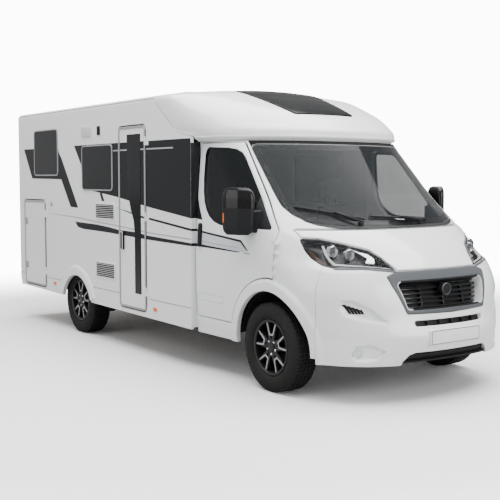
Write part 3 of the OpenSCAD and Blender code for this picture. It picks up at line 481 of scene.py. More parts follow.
# %% Panels with thickness
def panel(skin, rules, depth, roll=0.005, out=0.0):
    """A closed panel: outer skin, rolled edge, rim and inner skin."""
    points, faces = skin
    close = np.max([rule(points[:, :3]) for rule in rules], axis=0) < 0.040
    points, faces = used_only(points, faces[close[faces].any(1)])
    for rule in rules:
        points, faces = clip(points, faces, rule)

    def edge_distance(p):
        return -np.max([rule(p[:, :3]) for rule in rules], axis=0)

    for ring in (roll * 0.3, roll):
        points, faces, _ = split(points, faces, edge_distance(points) - ring)
    near = np.clip(edge_distance(points), 0, roll)
    sink = roll - np.sqrt(np.maximum(roll ** 2 - (roll - near) ** 2, 0))
    place, normal = points[:, :3], points[:, 3:6]
    normal = normal / np.linalg.norm(normal, axis=1, keepdims=True)
    outer = place + normal * (out - sink)[:, None]
    inner = place - normal * depth
    edges = faces[:, [0, 1, 1, 2, 2, 0]].reshape(-1, 2)
    order = np.sort(edges, axis=1)
    _, first, count = np.unique(order, axis=0, return_index=True, return_counts=True)
    rim = edges[first[count == 1]]
    n = len(points)
    rim_points = np.unique(rim)
    foot = np.zeros(n, int)
    foot[rim_points] = 2 * n + np.arange(len(rim_points))
    everything = np.concatenate([outer, inner, inner[rim_points]])
    all_faces = (faces.tolist() + (faces[:, ::-1] + n).tolist()
                 + [[b, a, foot[a], foot[b]] for a, b in rim])
    return everything, all_faces


# %% [markdown]
# Outlines are polygons with rounded corners, seen from the side, the front or above. Their signed distance
# comes from the nearest edge, and rounding shrinks the polygon and grows the distance back.

# %% Outlines
def inset(corners, amount):
    """A polygon moved in by amount on every edge."""
    p = np.array(corners, float)
    before, after = np.roll(p, 1, 0), np.roll(p, -1, 0)
    area = np.sum(p[:, 0] * after[:, 1] - after[:, 0] * p[:, 1])
    turn = 1 if area > 0 else -1

    def inward(d):
        return turn * np.stack([-d[:, 1], d[:, 0]], 1) / np.linalg.norm(d, axis=1, keepdims=True)

    n1, n2 = inward(p - before), inward(after - p)
    return p + amount * (n1 + n2) / (1 + np.sum(n1 * n2, 1, keepdims=True))


def outline(corners, radius=0.0):
    """Function of 2-D points: distance outside a polygon with round corners, negative inside."""
    p = inset(corners, radius) if radius else np.array(corners, float)

    def distance(at):
        best = np.full(len(at), 1e9)
        odd = np.zeros(len(at), bool)
        for a, b in zip(p, np.roll(p, -1, 0)):
            d, w = b - a, at - a
            t = np.clip(w @ d / (d @ d), 0, 1)
            best = np.minimum(best, np.hypot(*(w - t[:, None] * d).T))
            over = (a[1] > at[:, 1]) != (b[1] > at[:, 1])
            with np.errstate(divide="ignore", invalid="ignore"):
                odd ^= over & (at[:, 0] < (b[0] - a[0]) * (at[:, 1] - a[1]) / (b[1] - a[1]) + a[0])
        return np.where(odd, -best, best) - radius

    return distance


def view(*axes):
    """Maker of rules that keep the inside of an outline seen along one axis."""
    return lambda shape, grow=0.0: lambda p: shape(p[:, axes]) - grow


side_view, front_view, top_view = view(0, 2), view(1, 2), view(0, 1)


def outside(rule):
    return lambda p: -rule(p)


def both(*rules):
    return lambda p: np.max([r(p) for r in rules], axis=0)


def either(*rules):
    return lambda p: np.min([r(p) for r in rules], axis=0)


cab_core = 0.45


def right_side(p):
    return p[:, 1] + cab_core


def mirrored(rule):
    return lambda p: rule(p * (1, -1, 1))


# %% [markdown]
# ## Plates, frames, bars and turned pieces
# Flat trim starts as a rounded outline in a plane. `stacked` runs quads between loops of points, so a plate
# with a rolled edge, a frame, a bar along a path and a turned piece are all just lists of loops.

# %% Solid helpers
def rounded(corners, radius, steps=5):
    """A polygon's points with its corners rounded."""
    p = np.array(corners, float)
    made = []
    for a, c, b in zip(np.roll(p, 1, 0), p, np.roll(p, -1, 0)):
        u, v = (a - c) / np.linalg.norm(a - c), (b - c) / np.linalg.norm(b - c)
        half = math.acos(np.clip(u @ v, -1, 1)) / 2
        if radius <= 0 or half > 1.5:
            made.append(c)
            continue
        reach = min(radius / math.tan(half), 0.45 * np.linalg.norm(a - c), 0.45 * np.linalg.norm(b - c))
        r = reach * math.tan(half)
        middle = c + (u + v) / np.linalg.norm(u + v) * r / math.sin(half)
        start, end = c + u * reach - middle, c + v * reach - middle
        sweep = math.atan2(start[0] * end[1] - start[1] * end[0], start @ end)
        for t in np.linspace(0, sweep, steps):
            made.append(middle + (start[0] * math.cos(t) - start[1] * math.sin(t),
                                  start[0] * math.sin(t) + start[1] * math.cos(t)))
    return np.array(made)


def stacked(loops, ring=False):
    """Closed piece through loops of equal length; the ends are capped, or joined in a ring."""
    n, m = len(loops[0]), len(loops)
    points = np.concatenate(loops)
    faces = []
    for a in range(m if ring else m - 1):
        b = (a + 1) % m
        faces += [[a * n + i, a * n + (i + 1) % n, b * n + (i + 1) % n, b * n + i] for i in range(n)]
    if not ring:
        faces += [list(range(n))[::-1], list(range(n * (m - 1), n * m))]
    fan = np.array([(f[0], f[i], f[i + 1]) for f in faces for i in range(1, len(f) - 1)])
    a, b, c = points[fan[:, 0]], points[fan[:, 1]], points[fan[:, 2]]
    return points, faces if np.sum(a * np.cross(b, c)) > 0 else [f[::-1] for f in faces]


def plate(corners, radius, low, high, place, roll=0.002):
    """A flat piece with a rolled outer edge."""
    loop = rounded(corners, radius)
    area = np.sum(loop[:, 0] * np.roll(loop[:, 1], -1) - np.roll(loop[:, 0], -1) * loop[:, 1])
    loop = loop if area > 0 else loop[::-1]
    edge = [(roll * (1 - math.cos(t)), high - roll * (1 - math.sin(t)))
            for t in (0, 0.55, 1.1, math.pi / 2)]
    return stacked([place(loop, low)] + [place(inset(loop, o), h) for o, h in edge])


def trim(corners, radius, inner, outer, low, high, place, roll=0.002):
    """A frame along an outline, from inner to outer beyond it."""
    loop = rounded(corners, radius)
    profile = [(outer, low), (outer, high - roll), (outer - 0.3 * roll, high - 0.3 * roll),
               (outer - roll, high), (inner + roll, high), (inner + 0.3 * roll, high - 0.3 * roll),
               (inner, high - roll), (inner, low)]
    return stacked([place(inset(loop, -o), h) for o, h in profile], ring=True)


def bar(path, radius, sides=8):
    """A round bar along a path; radius may vary along it."""
    path = np.array(path, float)
    along = np.gradient(path, axis=0)
    side = np.cross(along, (0.11, 0.23, 0.97))
    side /= np.linalg.norm(side, axis=1, keepdims=True)
    up = np.cross(side, along)
    up /= np.linalg.norm(up, axis=1, keepdims=True)
    a = np.linspace(0, 2 * math.pi, sides, endpoint=False)
    thick = np.broadcast_to(radius, len(path))
    return stacked([c + r * (np.outer(np.cos(a), s) + np.outer(np.sin(a), u))
                    for c, s, u, r in zip(path, side, up, thick)])


def turned(profile, place, segments=48, ring=False):
    """A piece of revolution from (radius, height) pairs."""
    a = np.linspace(0, 2 * math.pi, segments, endpoint=False)
    circle = np.column_stack([np.cos(a), np.sin(a)])
    return stacked([place(circle * r, h) for r, h in profile], ring)


def plane(at, axes, out):
    """Puts flat (u, v) points at height h over a plane: axes are the directions of u and v."""
    at, (u, v), out = np.array(at, float), np.array(axes, float), np.array(out, float)
    return lambda uv, h: at + np.asarray(uv, float) @ np.stack([u, v]) + h * out


def rect(x0, x1, z0, z1):
    return [(x0, z0), (x1, z0), (x1, z1), (x0, z1)]


X, Y, Z = np.eye(3)
right_wall = plane((0, -half_w, 0), (X, Z), -Y)


# %% [markdown]
# ## One node tree for what repeats
# Tread blocks, spokes, wheel bolts and louvres are one piece set many times along a line or round an axle.
# The tree puts the piece on the points of a line, turns each copy by its number, and makes real geometry.
# A loop that copies meshes would look the same, but here one number changes the whole row.

# %% Repeat tree
def repeat_tree():
    tree = bpy.data.node_groups.new("repeat_piece", "GeometryNodeTree")
    for name, kind in (("Piece", "Object"), ("Count", "Int"), ("Step", "Vector"), ("Turn", "Vector"),
                       ("Finish", "Material")):
        tree.interface.new_socket(name, in_out="INPUT", socket_type="NodeSocket" + kind)
    tree.interface.new_socket("Geometry", in_out="OUTPUT", socket_type="NodeSocketGeometry")
    new, link = tree.nodes.new, tree.links.new
    given, line, number = new("NodeGroupInput"), new("GeometryNodeMeshLine"), new("GeometryNodeInputIndex")
    turn, piece_info = new("ShaderNodeVectorMath"), new("GeometryNodeObjectInfo")
    copies, real = new("GeometryNodeInstanceOnPoints"), new("GeometryNodeRealizeInstances")
    paint, result = new("GeometryNodeSetMaterial"), new("NodeGroupOutput")
    line.mode = "OFFSET"
    turn.operation = "SCALE"
    link(given.outputs["Count"], line.inputs["Count"])
    link(given.outputs["Step"], line.inputs["Offset"])
    link(given.outputs["Turn"], turn.inputs[0])
    link(number.outputs[0], turn.inputs["Scale"])
    link(given.outputs["Piece"], piece_info.inputs["Object"])
    link(line.outputs[0], copies.inputs["Points"])
    link(piece_info.outputs["Geometry"], copies.inputs["Instance"])
    link(turn.outputs[0], copies.inputs["Rotation"])
    link(copies.outputs[0], real.inputs[0])
    link(real.outputs[0], paint.inputs["Geometry"])
    link(given.outputs["Finish"], paint.inputs["Material"])
    link(paint.outputs[0], result.inputs[0])
    return tree


repeat_nodes = repeat_tree()
print("repeat tree:", len(repeat_nodes.nodes), "nodes")


def repeat(parts, count, finish, step=(0.0, 0.0, 0.0), turn=(0.0, 0.0, 0.0)):
    """Points and faces of a piece repeated by the node tree."""
    objects = []
    for name, (points, faces) in (("repeated", parts), ("carrier", ([], []))):
        mesh = bpy.data.meshes.new(name)
        mesh.from_pydata(np.asarray(points, float).tolist(), [], [list(map(int, f)) for f in faces])
        objects.append(bpy.data.objects.new(name, mesh))
        bpy.context.scene.collection.objects.link(objects[-1])
    run = objects[1].modifiers.new("repeat", "NODES")
    run.node_group = repeat_nodes
    for name, value in (("Piece", objects[0]), ("Count", count), ("Step", step), ("Turn", turn),
                        ("Finish", finish)):
        run[repeat_nodes.interface.items_tree[name].identifier] = value
    made = bpy.data.meshes.new_from_object(objects[1].evaluated_get(bpy.context.evaluated_depsgraph_get()))
    objects[1].modifiers.remove(run)
    found = np.array([v.co for v in made.vertices]), [list(f.vertices) for f in made.polygons]
    for old in objects:
        bpy.data.objects.remove(old)
    bpy.data.meshes.remove(made)
    return found


# %% [markdown]
# ## The cab
# The same levels as the solids': height, nose ahead of the axle, half width, where the side starts to
# curve, and how square the corner is. The skin swells round the wheel arches and is dented by two hollows in
# the bumper: a scoop with slashes and a recess for the fog lamp.

# %% Cab skin
cab_levels = np.array([(0.290, 0.925, 0.985, 0.060, 2.60), (0.420, 0.972, 1.000, 0.080, 2.30),
                       (0.488, 0.990, 1.005, 0.090, 2.20), (0.620, 0.945, 1.015, 0.100, 2.30),
                       (0.800, 0.905, 1.022, 0.100, 2.40), (0.960, 0.835, 1.024, 0.030, 2.36),
                       (1.060, 0.745, 1.022, -0.060, 2.20), (1.170, 0.600, 1.016, -0.160, 2.40),
                       (1.240, 0.485, 1.012, -0.210, 2.45), (1.285, 0.400, 1.010, -0.250, 2.45),
                       (1.500, 0.180, 0.996, -0.480, 2.20), (1.730, -0.055, 0.980, -0.740, 2.30),
                       (1.965, -0.290, 0.960, -1.000, 2.42)])
arch_r = 0.440
flare_w, flare_out = 0.095, 0.020
scoop_edge = outline([(0.859, 0.722), (0.832, 0.655), (0.745, 0.625), (0.661, 0.605), (0.545, 0.598),
                      (0.565, 0.623), (0.663, 0.714), (0.774, 0.778), (0.849, 0.776)])
fog_edge = outline([(0.790, 0.372), (0.770, 0.440), (0.665, 0.450), (0.572, 0.396), (0.640, 0.333),
                    (0.760, 0.326)],
                   0.015)


def ease(t):
    t = np.clip(t, 0, 1)
    return t * t * (3 - 2 * t)


def nose_dent(flat):
    """How deep the bumper is dented at (distance from the middle, height)."""
    return 0.030 * ease(-scoop_edge(flat) / 0.030) + 0.022 * ease(-fog_edge(flat) / 0.014)


def cab_shape(grid):
    """Swells the sides round the front wheels and dents the bumper's hollows."""
    x, y, z = grid[..., 0], grid[..., 1], grid[..., 2]
    reach = np.hypot(x - axle_x, z - tyre_r)
    swell = flare_out * (1 - ease((reach - arch_r - 0.068) / 0.028))
    grid[..., 1] += np.sign(y) * swell * np.clip((abs(y) - 0.6) / 0.25, 0, 1)
    flat = np.stack([abs(y), z], -1).reshape(-1, 2)
    dent = nose_dent(flat).reshape(x.shape) * (x > axle_x + 0.45)
    inward = np.stack([axle_x + 0.1 - x, -y, 0 * x], -1)
    return grid + dent[..., None] * inward / np.linalg.norm(inward, axis=2, keepdims=True)


def cab_at(y, z, lift=0.0):
    """The point of the cab's skin at (y, z) in the front view, lifted straight out."""
    def on(y, z):
        nose, width, start, power = (monotone(cab_levels[:, 0], cab_levels[:, k], np.array([z]))[0]
                                     for k in range(1, 5))
        return np.array([axle_x + start + (nose - start) * (1 - (abs(y) / width) ** power) ** (1 / power),
                         y, z])

    out = np.cross(on(y + 0.01, z) - on(y - 0.01, z), on(y, z + 0.01) - on(y, z - 0.01))
    return on(y, z) + lift * out / np.linalg.norm(out)


cab_skin = loft(cab_levels, wall_front_x + 0.004, 0.0125, cab_shape)
print("cab skin:", len(cab_skin[0]), "points")

# %% [markdown]
# Shut lines and openings of the cab, each drawn once: doors in the side view, the rest in the front view.
# A line drawn on the curved skin itself would need three numbers for each point instead of two.

# %% Cab outlines
def mirror_half(half):
    """Closed outline from points on the left, with the same points mirrored to the right."""
    return half + [(-y, z) for y, z in half[::-1] if y > 0]


shut = 0.008
door_rear_x, door_front_x = wall_front_x + 0.016, axle_x + 0.055
door_foot_z, door_top_z, belt_z = 0.480, 1.952, 1.262
bonnet_foot_z = 0.985
door_edge = outline([(door_rear_x, door_foot_z), (door_front_x, door_foot_z), (door_front_x, belt_z - 0.010),
                     (axle_x - 0.570, door_top_z), (door_rear_x, door_top_z)], 0.025)
door_window = outline([(1.034, 1.660), (1.042, 1.540), (1.062, 1.460), (1.095, 1.395), (1.145, 1.340),
                       (1.220, 1.297), (1.320, 1.272), (axle_x - 0.002, belt_z), (axle_x - 0.499, 1.828),
                       (axle_x - 0.543, 1.868), (axle_x - 0.600, 1.895), (axle_x - 0.680, 1.909),
                       (1.085, 1.918), (1.052, 1.900), (1.036, 1.855)],
                      0.012)
screen_edge = outline(mirror_half([(0, 1.286), (0.560, 1.294), (0.775, 1.320), (0.838, 1.372), (0.862, 1.440),
                                   (0.822, 1.938)]), 0.050)
bonnet_edge = outline(mirror_half([(0.405, bonnet_foot_z), (0.426, 1.012), (0.463, 1.071), (0.520, 1.133),
                                   (0.610, 1.160), (0.688, 1.186), (0.800, 1.215), (0.884, 1.219),
                                   (0.890, 1.262), (0.870, 1.270)]))
lamp_edge = outline([(0.414, 0.978), (0.547, 0.996), (0.660, 1.004), (0.791, 1.010), (0.830, 0.999),
                     (0.870, 1.015), (0.896, 1.064), (0.909, 1.118), (0.906, 1.183), (0.899, 1.200),
                     (0.884, 1.209), (0.801, 1.205), (0.691, 1.176), (0.613, 1.150), (0.526, 1.124),
                     (0.471, 1.065), (0.434, 1.005)])
bumper_edge = outline(mirror_half([(1.300, 0.200), (1.300, 1.014), (0.791, 1.014), (0.547, 0.999),
                                   (0.415, bonnet_foot_z - 0.002)]))
surround_edge = outline(mirror_half([(0, 0.656), (0.412, 0.664), (0.500, 0.870), (0.520, 0.940),
                                     (0.418, 0.976)]),
                        0.015)
grille_edge = outline(mirror_half([(0.398, 0.702), (0.458, 0.897)]), 0.030)
intake_edge = outline(mirror_half([(0.470, 0.260), (0.448, 0.318), (0.405, 0.364), (0.360, 0.380)]))
slot_edge = outline(rect(-0.360, 0.360, 0.575, 0.616), 0.015)
slash_corners = [np.array([(0.840 - 0.023 * i, 0.740 - 0.009 * i), (0.821 - 0.023 * i, 0.740 - 0.009 * i),
                           (0.785 - 0.018 * i, 0.670), (0.800 - 0.018 * i, 0.670)]) for i in range(5)]
print("cab door:", round(door_front_x - door_rear_x, 3), "by", round(door_top_z - door_foot_z, 3))


# %% [markdown]
# A rule is negative where a panel stays. Rules for the arches, the nose and plain limits are combined
# by taking the larger or the smaller one, which is quicker to read than a list of cutters.

# %% Cab rules
def wheel_gap(p):
    """Negative inside the front wheel arch."""
    return np.hypot(p[:, 0] - axle_x, p[:, 2] - tyre_r) - arch_r


def flare_zone(p):
    return wheel_gap(p) - flare_w - shut


def ahead_of(x):
    return lambda p: x - p[:, 0]


def below(z):
    return lambda p: p[:, 2] - z


def above(z):
    return lambda p: z - p[:, 2]


def nose_right(shape, grow=0.0):
    """Rule for an outline given by distance from the middle, on the right half of the nose."""
    return both(lambda p: shape(p[:, (1, 2)] * (-1, 1)) - grow, ahead_of(axle_x + 0.150))


def nose(shape, grow=0.0):
    """The same outline on both halves."""
    return either(nose_right(shape, grow), mirrored(nose_right(shape, grow)))


over_screen, over_bonnet = ahead_of(axle_x - 0.9), ahead_of(axle_x - 0.2)
door_hole = both(side_view(door_edge, shut), outside(lambda p: flare_zone(p) + shut),
                 lambda p: cab_core - abs(p[:, 1]))
screen_rule = both(front_view(screen_edge), over_screen)
bonnet_hole = both(front_view(bonnet_edge, shut), over_bonnet)
bumper_x = axle_x + 0.480
bumper_rule = both(front_view(bumper_edge), ahead_of(bumper_x))
lamps_hole = nose(lamp_edge, 0.001)

# %% [markdown]
# Shell, bonnet, bumper and windscreen are pressed or moulded apart and meet in even gaps. Here they are cut
# from the one skin, so that a gap follows its curve and two neighbours can't disagree.

# %% Cab panels
def cab_piece(name, rules, form, finish, slot, body="root", replaces=()):
    """A panel cut from the cab's skin; form is its depth, then the roll of its edge and its lift."""
    piece(name, *panel(cab_skin, rules, *form), finish, body, slot, replaces)


shell_rules = [above(0.330), outside(door_hole), outside(screen_rule), outside(bonnet_hole),
               outside(lamps_hole), outside(lambda p: bumper_rule(p) - 0.0008), outside(wheel_gap)]
cab_piece("cab_shell", shell_rules, (0.040,), white_paint, "white_paint", replaces=["cab_body"])
bonnet_rules = [front_view(bonnet_edge, 0.002), over_bonnet, below(1.263)]
cab_piece("bonnet_skin", bonnet_rules, (0.013,), white_paint, "white_paint", "bonnet", ["bonnet"])
liner_rules = [front_view(bonnet_edge, -0.030), over_bonnet, below(1.225)]
cab_piece("bonnet_liner", liner_rules, (0.036, 0.004, -0.012), black_plastic, "black_plastic", "bonnet")
bumper_rules = [front_view(bumper_edge), ahead_of(bumper_x), outside(lamps_hole), outside(bonnet_hole),
                outside(front_view(surround_edge)), outside(front_view(slot_edge)),
                outside(front_view(intake_edge)), outside(wheel_gap)]
cab_piece("bumper_skin", bumper_rules, (0.034,), white_paint, "white_panel", replaces=["front_bumper"])
cab_piece("windscreen_glass", [front_view(screen_edge, -0.002), over_screen], (0.006, 0.002), cab_glass,
          "cab_glass", replaces=["windscreen"])
cab_piece("windscreen_frit",
          [front_view(screen_edge, -0.003), outside(front_view(screen_edge, -0.045)), over_screen],
          (0.0085, 0.0005, -0.0065), gloss_black, "cab_glass")
pillar_face = plane((wall_front_x + 0.004, 0, 0), (Y, Z), X)
pillar = plate(rect(-1.056, -0.955, 0.372, 1.960), 0.004, -0.0036, 0.004, pillar_face)
piece("rear_pillars", *pair(pillar), white_paint, slot="white_paint")
film = join([plate(rect(-1.0592, -0.965, low, high), 0.0, -0.0036, 0.0046, pillar_face, 0.0003)
             for low, high in ((1.315, 1.9595), (1.206, 1.226), (1.076, 1.102))])
piece("pillar_films", *pair(film), charcoal_film, slot="black_plastic")
# A black strip over the white cab header, between the windscreen's top and the cap, is painted shadow for the
# shade under the cap's overhang.
header_shadow_edge = outline(mirror_half([(0, 1.900), (0.8245, 1.900), (0.8195, 1.9665)]))
cab_piece("screen_header", [front_view(header_shadow_edge), outside(front_view(screen_edge, 0.001)), over_screen],
          (0.004, 0.001, 0.0008), seal_rubber, "black_plastic")
cowl_edge = outline(mirror_half([(0, 1.2715), (0.560, 1.2715), (0.670, 1.281), (0.740, 1.297), (0.800, 1.326),
                                 (0.800, 1.350)]))
cab_piece("cowl_panel", [front_view(cowl_edge), outside(front_view(screen_edge, 0.001)), ahead_of(axle_x)],
          (0.004, 0.001, 0.0008), black_plastic, "black_plastic")

# %% [markdown]
# ## The nose
# The grille sits well back behind a grey surround, and its bars follow the skin. The inner wall of its well
# is pale at the sides, and its top and bottom are black as painted shade. The badge place stays a plain ring.
# Flat bars would stand off the curved nose at its ends, so every bar is a cut of the cab's skin, sunk to its
# own depth.

# %% Grille
grille_rule = front_view(grille_edge)
ahead = ahead_of(axle_x + 0.3)
cab_piece("grille_frame",
          [front_view(surround_edge, -0.002), outside(front_view(grille_edge, 0.009)), ahead],
          (0.024, 0.006, 0.002), grey_trim, "grey_trim", replaces=["grille_surround"])
well = [front_view(grille_edge, 0.009), outside(grille_rule), ahead]


def well_side(p):
    return 0.360 + (p[:, 2] - 0.702) * 0.3 - abs(p[:, 1])


cab_piece("grille_well_sides", well + [well_side], (0.100, 0.003, -0.002), pale_plastic, "grey_trim")
# The well's top and bottom walls are black as painted shade for the shade inside the recess. Its sides keep
# the pale plastic.
cab_piece("grille_well", well + [outside(well_side)], (0.100, 0.003, -0.002), black_plastic,
          "black_plastic")
cab_piece("grille_back", [front_view(grille_edge, 0.004), ahead], (0.112, 0.002, -0.099), black_plastic,
          "black_plastic", replaces=["grille"])
bars = [outline(rect(-0.5, 0.5, 0.704 + 0.037 * i, 0.720 + 0.037 * i), 0.003) for i in range(6)]
ribs = [outline(rect(y - 0.005, y + 0.005, 0.690, 0.900), 0.002) for y in (-0.23, 0.0, 0.23)]
grid_rule = either(*[front_view(b) for b in bars + ribs])
cab_piece("grille_bars", [grid_rule, front_view(grille_edge, -0.001), ahead], (0.090, 0.004, -0.064),
          gloss_black, "black_plastic")

# %% [markdown]
# Grey lips underline the headlamps, and a bare ring marks the badge place. Below are a slot with short
# bars and a dark intake with a skid lip, all cut from the skin as the grille is.

# %% Lamp lips, badge place and intake
lip_right = outline([(0.424, 0.962), (0.520, 0.972), (0.660, 0.988), (0.832, 0.986), (0.828, 0.996),
                     (0.791, 1.007), (0.660, 1.001), (0.547, 0.993), (0.420, 0.976)])
cab_piece("lamp_lips", [nose(lip_right)], (0.006, 0.003, 0.003), grey_trim, "grey_trim")
boss_at = plane(cab_at(0, 0.826) - (0.014, 0, 0), (Y, Z), X)
piece("badge_place",
      *turned([(0.034, -0.064), (0.042, -0.010), (0.042, 0.000), (0.034, 0.003), (0.010, 0.004)], boss_at),
      tank_plastic, slot="black_plastic")
piece("badge_ring",
      *turned([(0.0395, -0.004), (0.0455, -0.004), (0.0455, 0.003), (0.044, 0.0055), (0.041, 0.0055),
               (0.0395, 0.003)],
              boss_at, 48, True),
      grey_trim, slot="grey_trim")
cab_piece("slot_back", [front_view(slot_edge, 0.004), ahead], (0.050, 0.002, -0.036), black_plastic,
          "black_plastic")
slot_bars = either(*[front_view(outline(rect(y - 0.006, y + 0.006, 0.572, 0.620)))
                     for y in np.arange(-0.24, 0.25, 0.12)])
cab_piece("slot_bars", [slot_bars, front_view(slot_edge, -0.0005), ahead], (0.034, 0.003, -0.012),
          black_plastic, "black_plastic")
cab_piece("intake_insert", [front_view(intake_edge, -0.0005), above(0.316), ahead], (0.060, 0.004, -0.030),
          black_plastic, "black_plastic")
mesh_bars = either(*[front_view(outline(rect(-0.5, 0.5, z, z + 0.007))) for z in (0.327, 0.343, 0.359)])
cab_piece("intake_bars", [mesh_bars, front_view(intake_edge, -0.004), ahead], (0.034, 0.002, -0.018),
          tank_plastic, "black_plastic")
cab_piece("skid_lip", [front_view(intake_edge, -0.0005), above(0.301), below(0.315), ahead],
          (0.040, 0.004, -0.004), black_plastic, "black_plastic")


# %% [markdown]
# The slashes lie in the bumper's hollow, so their points are looked up on the dented skin. The plate is
# blank and stands on a flat pad, since a plate doesn't bend with the nose.

# %% Slash vents and front plate
def dented_at(y, z, lift):
    """A point on the bumper with its hollows, lifted out."""
    at = cab_at(y, z)
    inward = np.array([axle_x + 0.1 - at[0], -y, 0])
    depth = nose_dent(np.array([(abs(y), z)]))[0]
    return at + (depth - lift) * inward / np.linalg.norm(inward)


slashes = []
for corners in slash_corners:
    edge = [a + (b - a) * t for a, b in zip(corners, np.roll(corners, -1, 0)) for t in (0.0, 0.33, 0.67)]
    slashes.append(stacked([np.array([dented_at(-y, z, lift) for y, z in edge])
                            for lift in (-0.008, 0.0015)]))
slashes = join(slashes)
piece("slash_vents", *pair(slashes), black_plastic, slot="black_plastic")
front_at = plane((axle_x + 0.930, 0, 0.488), (Y, Z), X)
piece("plate_pad", *plate(rect(-0.262, 0.262, -0.057, 0.057), 0.010, 0.0, 0.0575, front_at, 0.004),
      white_paint, slot="white_panel")
piece("plate_rim",
      *trim(rect(-0.255, 0.255, -0.050, 0.050), 0.008, -0.004, 0.001, 0.056, 0.0592, front_at, 0.001),
      grey_trim, slot="grey_trim")
piece("blank_plate", *plate(rect(-0.251, 0.251, -0.046, 0.046), 0.006, 0.056, 0.0588, front_at, 0.0005),
      white_panel, slot="white_panel")

# %% [markdown]
# ## Lamps
# Each headlamp is a dark housing behind a clear lens, with two round reflectors, a bright inner panel and a
# pale light strip along its lower and outer edge. A picture behind the lens would look flat from the side,
# so the depth is real. The fog lamps are small round lenses in their hollows.

# %% Headlamps
strip = [(0.795, 1.161), (0.804, 1.106), (0.801, 1.067), (0.790, 1.036), (0.737, 1.031), (0.648, 1.023),
         (0.535, 1.013), (0.448, 1.001)]
strip_edge = outline(strip + [(y + 0.003, z - 0.012) for y, z in strip[:3:-1]]
                     + [(0.806, 1.022), (0.816, 1.064), (0.819, 1.106), (0.808, 1.165)])
bright_edge = outline([(0.535, 1.040), (0.600, 1.046), (0.560, 1.075), (0.640, 1.150), (0.613, 1.140),
                       (0.532, 1.115), (0.505, 1.080)])
amber_edge = outline([(0.838, 1.020), (0.866, 1.026), (0.889, 1.070), (0.900, 1.120), (0.880, 1.125),
                      (0.862, 1.070)])
lamp_parts = [("housing",
               panel(cab_skin, [nose_right(lamp_edge, -0.001), outside(nose_right(lamp_edge, -0.010))],
                     0.088, 0.002, -0.004),
               gloss_black),
              ("bowl", panel(cab_skin, [nose_right(lamp_edge, -0.004)], 0.086, 0.002, -0.064), gloss_black),
              ("bright", panel(cab_skin, [nose_right(bright_edge)], 0.066, 0.004, -0.022), chrome),
              ("strip", panel(cab_skin, [nose_right(strip_edge)], 0.030, 0.004, -0.010), pale_plastic),
              ("turn_signal", panel(cab_skin, [nose_right(amber_edge)], 0.030, 0.003, -0.012),
               smoked_amber),
              ("lens", panel(cab_skin, [nose_right(lamp_edge, -0.0008)], 0.0035, 0.001, -0.0005),
               lamp_clear)]
for label, y, z, r in (("0.65", -0.655, 1.088, 0.044), ("0.74", -0.748, 1.110, 0.046)):
    at = plane(cab_at(y, z) - (0.050, 0, 0), (Y, Z), X)
    lamp_parts += [(f"reflector_{label}",
                    turned([(r, -0.02), (r, 0.016), (r * 0.9, 0.020), (r * 0.8, 0.006), (r * 0.4, -0.012),
                            (r * 0.38, -0.02)],
                           at, 40, True),
                    chrome),
                   (f"bulb_{label}",
                    turned([(r * 0.62, -0.018), (r * 0.62, -0.004), (r * 0.44, 0.006), (r * 0.15, 0.010)],
                           at, 32),
                    smoked_lens)]
fog_lens = outline([(0.742 + 0.030 * math.cos(a), 0.386 + 0.030 * math.sin(a))
                    for a in np.arange(0, 6.2, 0.3)])
lamp_parts += [("fog_lens", panel(cab_skin, [nose_right(fog_lens, -0.003)], 0.012, 0.004, 0.006),
                white_lens),
               ("fog_ring",
                panel(cab_skin, [nose_right(fog_lens, 0.003), outside(nose_right(fog_lens, -0.003))], 0.012,
                      0.002, 0.008),
                chrome)]
for part, parts, finish in lamp_parts:
    for side, turn in SIDES.items():
        piece(f"lamp_{part}_{side}", *turn(*parts), finish, slot="lamp_glass",
              replaces=["headlamps"] if (part, side) == ("lens", "right") else [])
print("lamp pieces:", 2 * len(lamp_parts))

# %% [markdown]
# ## Cab doors, mirrors and wipers
# A door is cut from the skin together with its pane. A black corner fills the pane's front, the handle
# stands at the rear edge, and the mirror rides on the door. Only the right door is drawn. The left one is
# its mirror image, so that the two always match.

# %% Cab doors
door_rules = [side_view(door_edge), outside(flare_zone), right_side, outside(side_view(door_window, 0.001))]
handle_edge = outline(rect(door_rear_x + 0.045, door_rear_x + 0.092, 1.074, 1.278), 0.020)
step_edge = outline(rect(0.985, 1.380, 0.620, 0.680), 0.010)
film_x = 0.958
line_one = [(film_x, 1.2225), (1.156, 1.203), (1.631, 1.165), (1.742, 1.080), (1.720, 1.082),
            (1.620, 1.147), (1.156, 1.186), (film_x, 1.2055)]
line_two = [(film_x, 1.140), (1.156, 1.124), (1.640, 1.101), (1.640, 1.093), (1.156, 1.112),
            (film_x, 1.128)]
line_three = [(film_x, 1.1015), (1.156, 1.092), (1.763, 1.064), (1.763, 1.058), (1.156, 1.073),
              (film_x, 1.0755)]
pale_fill = [(film_x, 1.2055), (1.156, 1.186), (1.620, 1.147), (1.720, 1.082), (1.690, 1.069),
             (1.156, 1.093), (film_x, 1.1025)]
black_film = [(film_x, 1.530), (0.972, 1.470), (1.000, 1.395), (1.048, 1.303), (film_x, 1.3125)]
door_parts = [("skin", panel(cab_skin, door_rules, 0.046), white_paint, "white_paint"),
              ("pane", panel(cab_skin, [side_view(door_window, -0.0005), right_side], 0.005, 0.001),
               side_glass, "cab_glass"),
              ("pane_edging",
               panel(cab_skin,
                     [side_view(door_window, -0.001), outside(side_view(door_window, -0.035)), right_side],
                     0.0075, 0.0005, -0.0055),
               gloss_black, "cab_glass"),
              ("corner",
               panel(cab_skin, [side_view(door_window, -0.001), ahead_of(axle_x - 0.225), right_side],
                     0.010, 0.001, 0.0008),
               black_plastic, "black_plastic"),
              ("handle", panel(cab_skin, [side_view(handle_edge), right_side], 0.004, 0.012, 0.022),
               black_plastic, "black_plastic"),
              ("step_line",
               panel(cab_skin, [side_view(step_edge), outside(side_view(step_edge, -0.003)), right_side],
                     0.002, 0.0004, 0.0006),
               grey_frame, "grey_trim")]
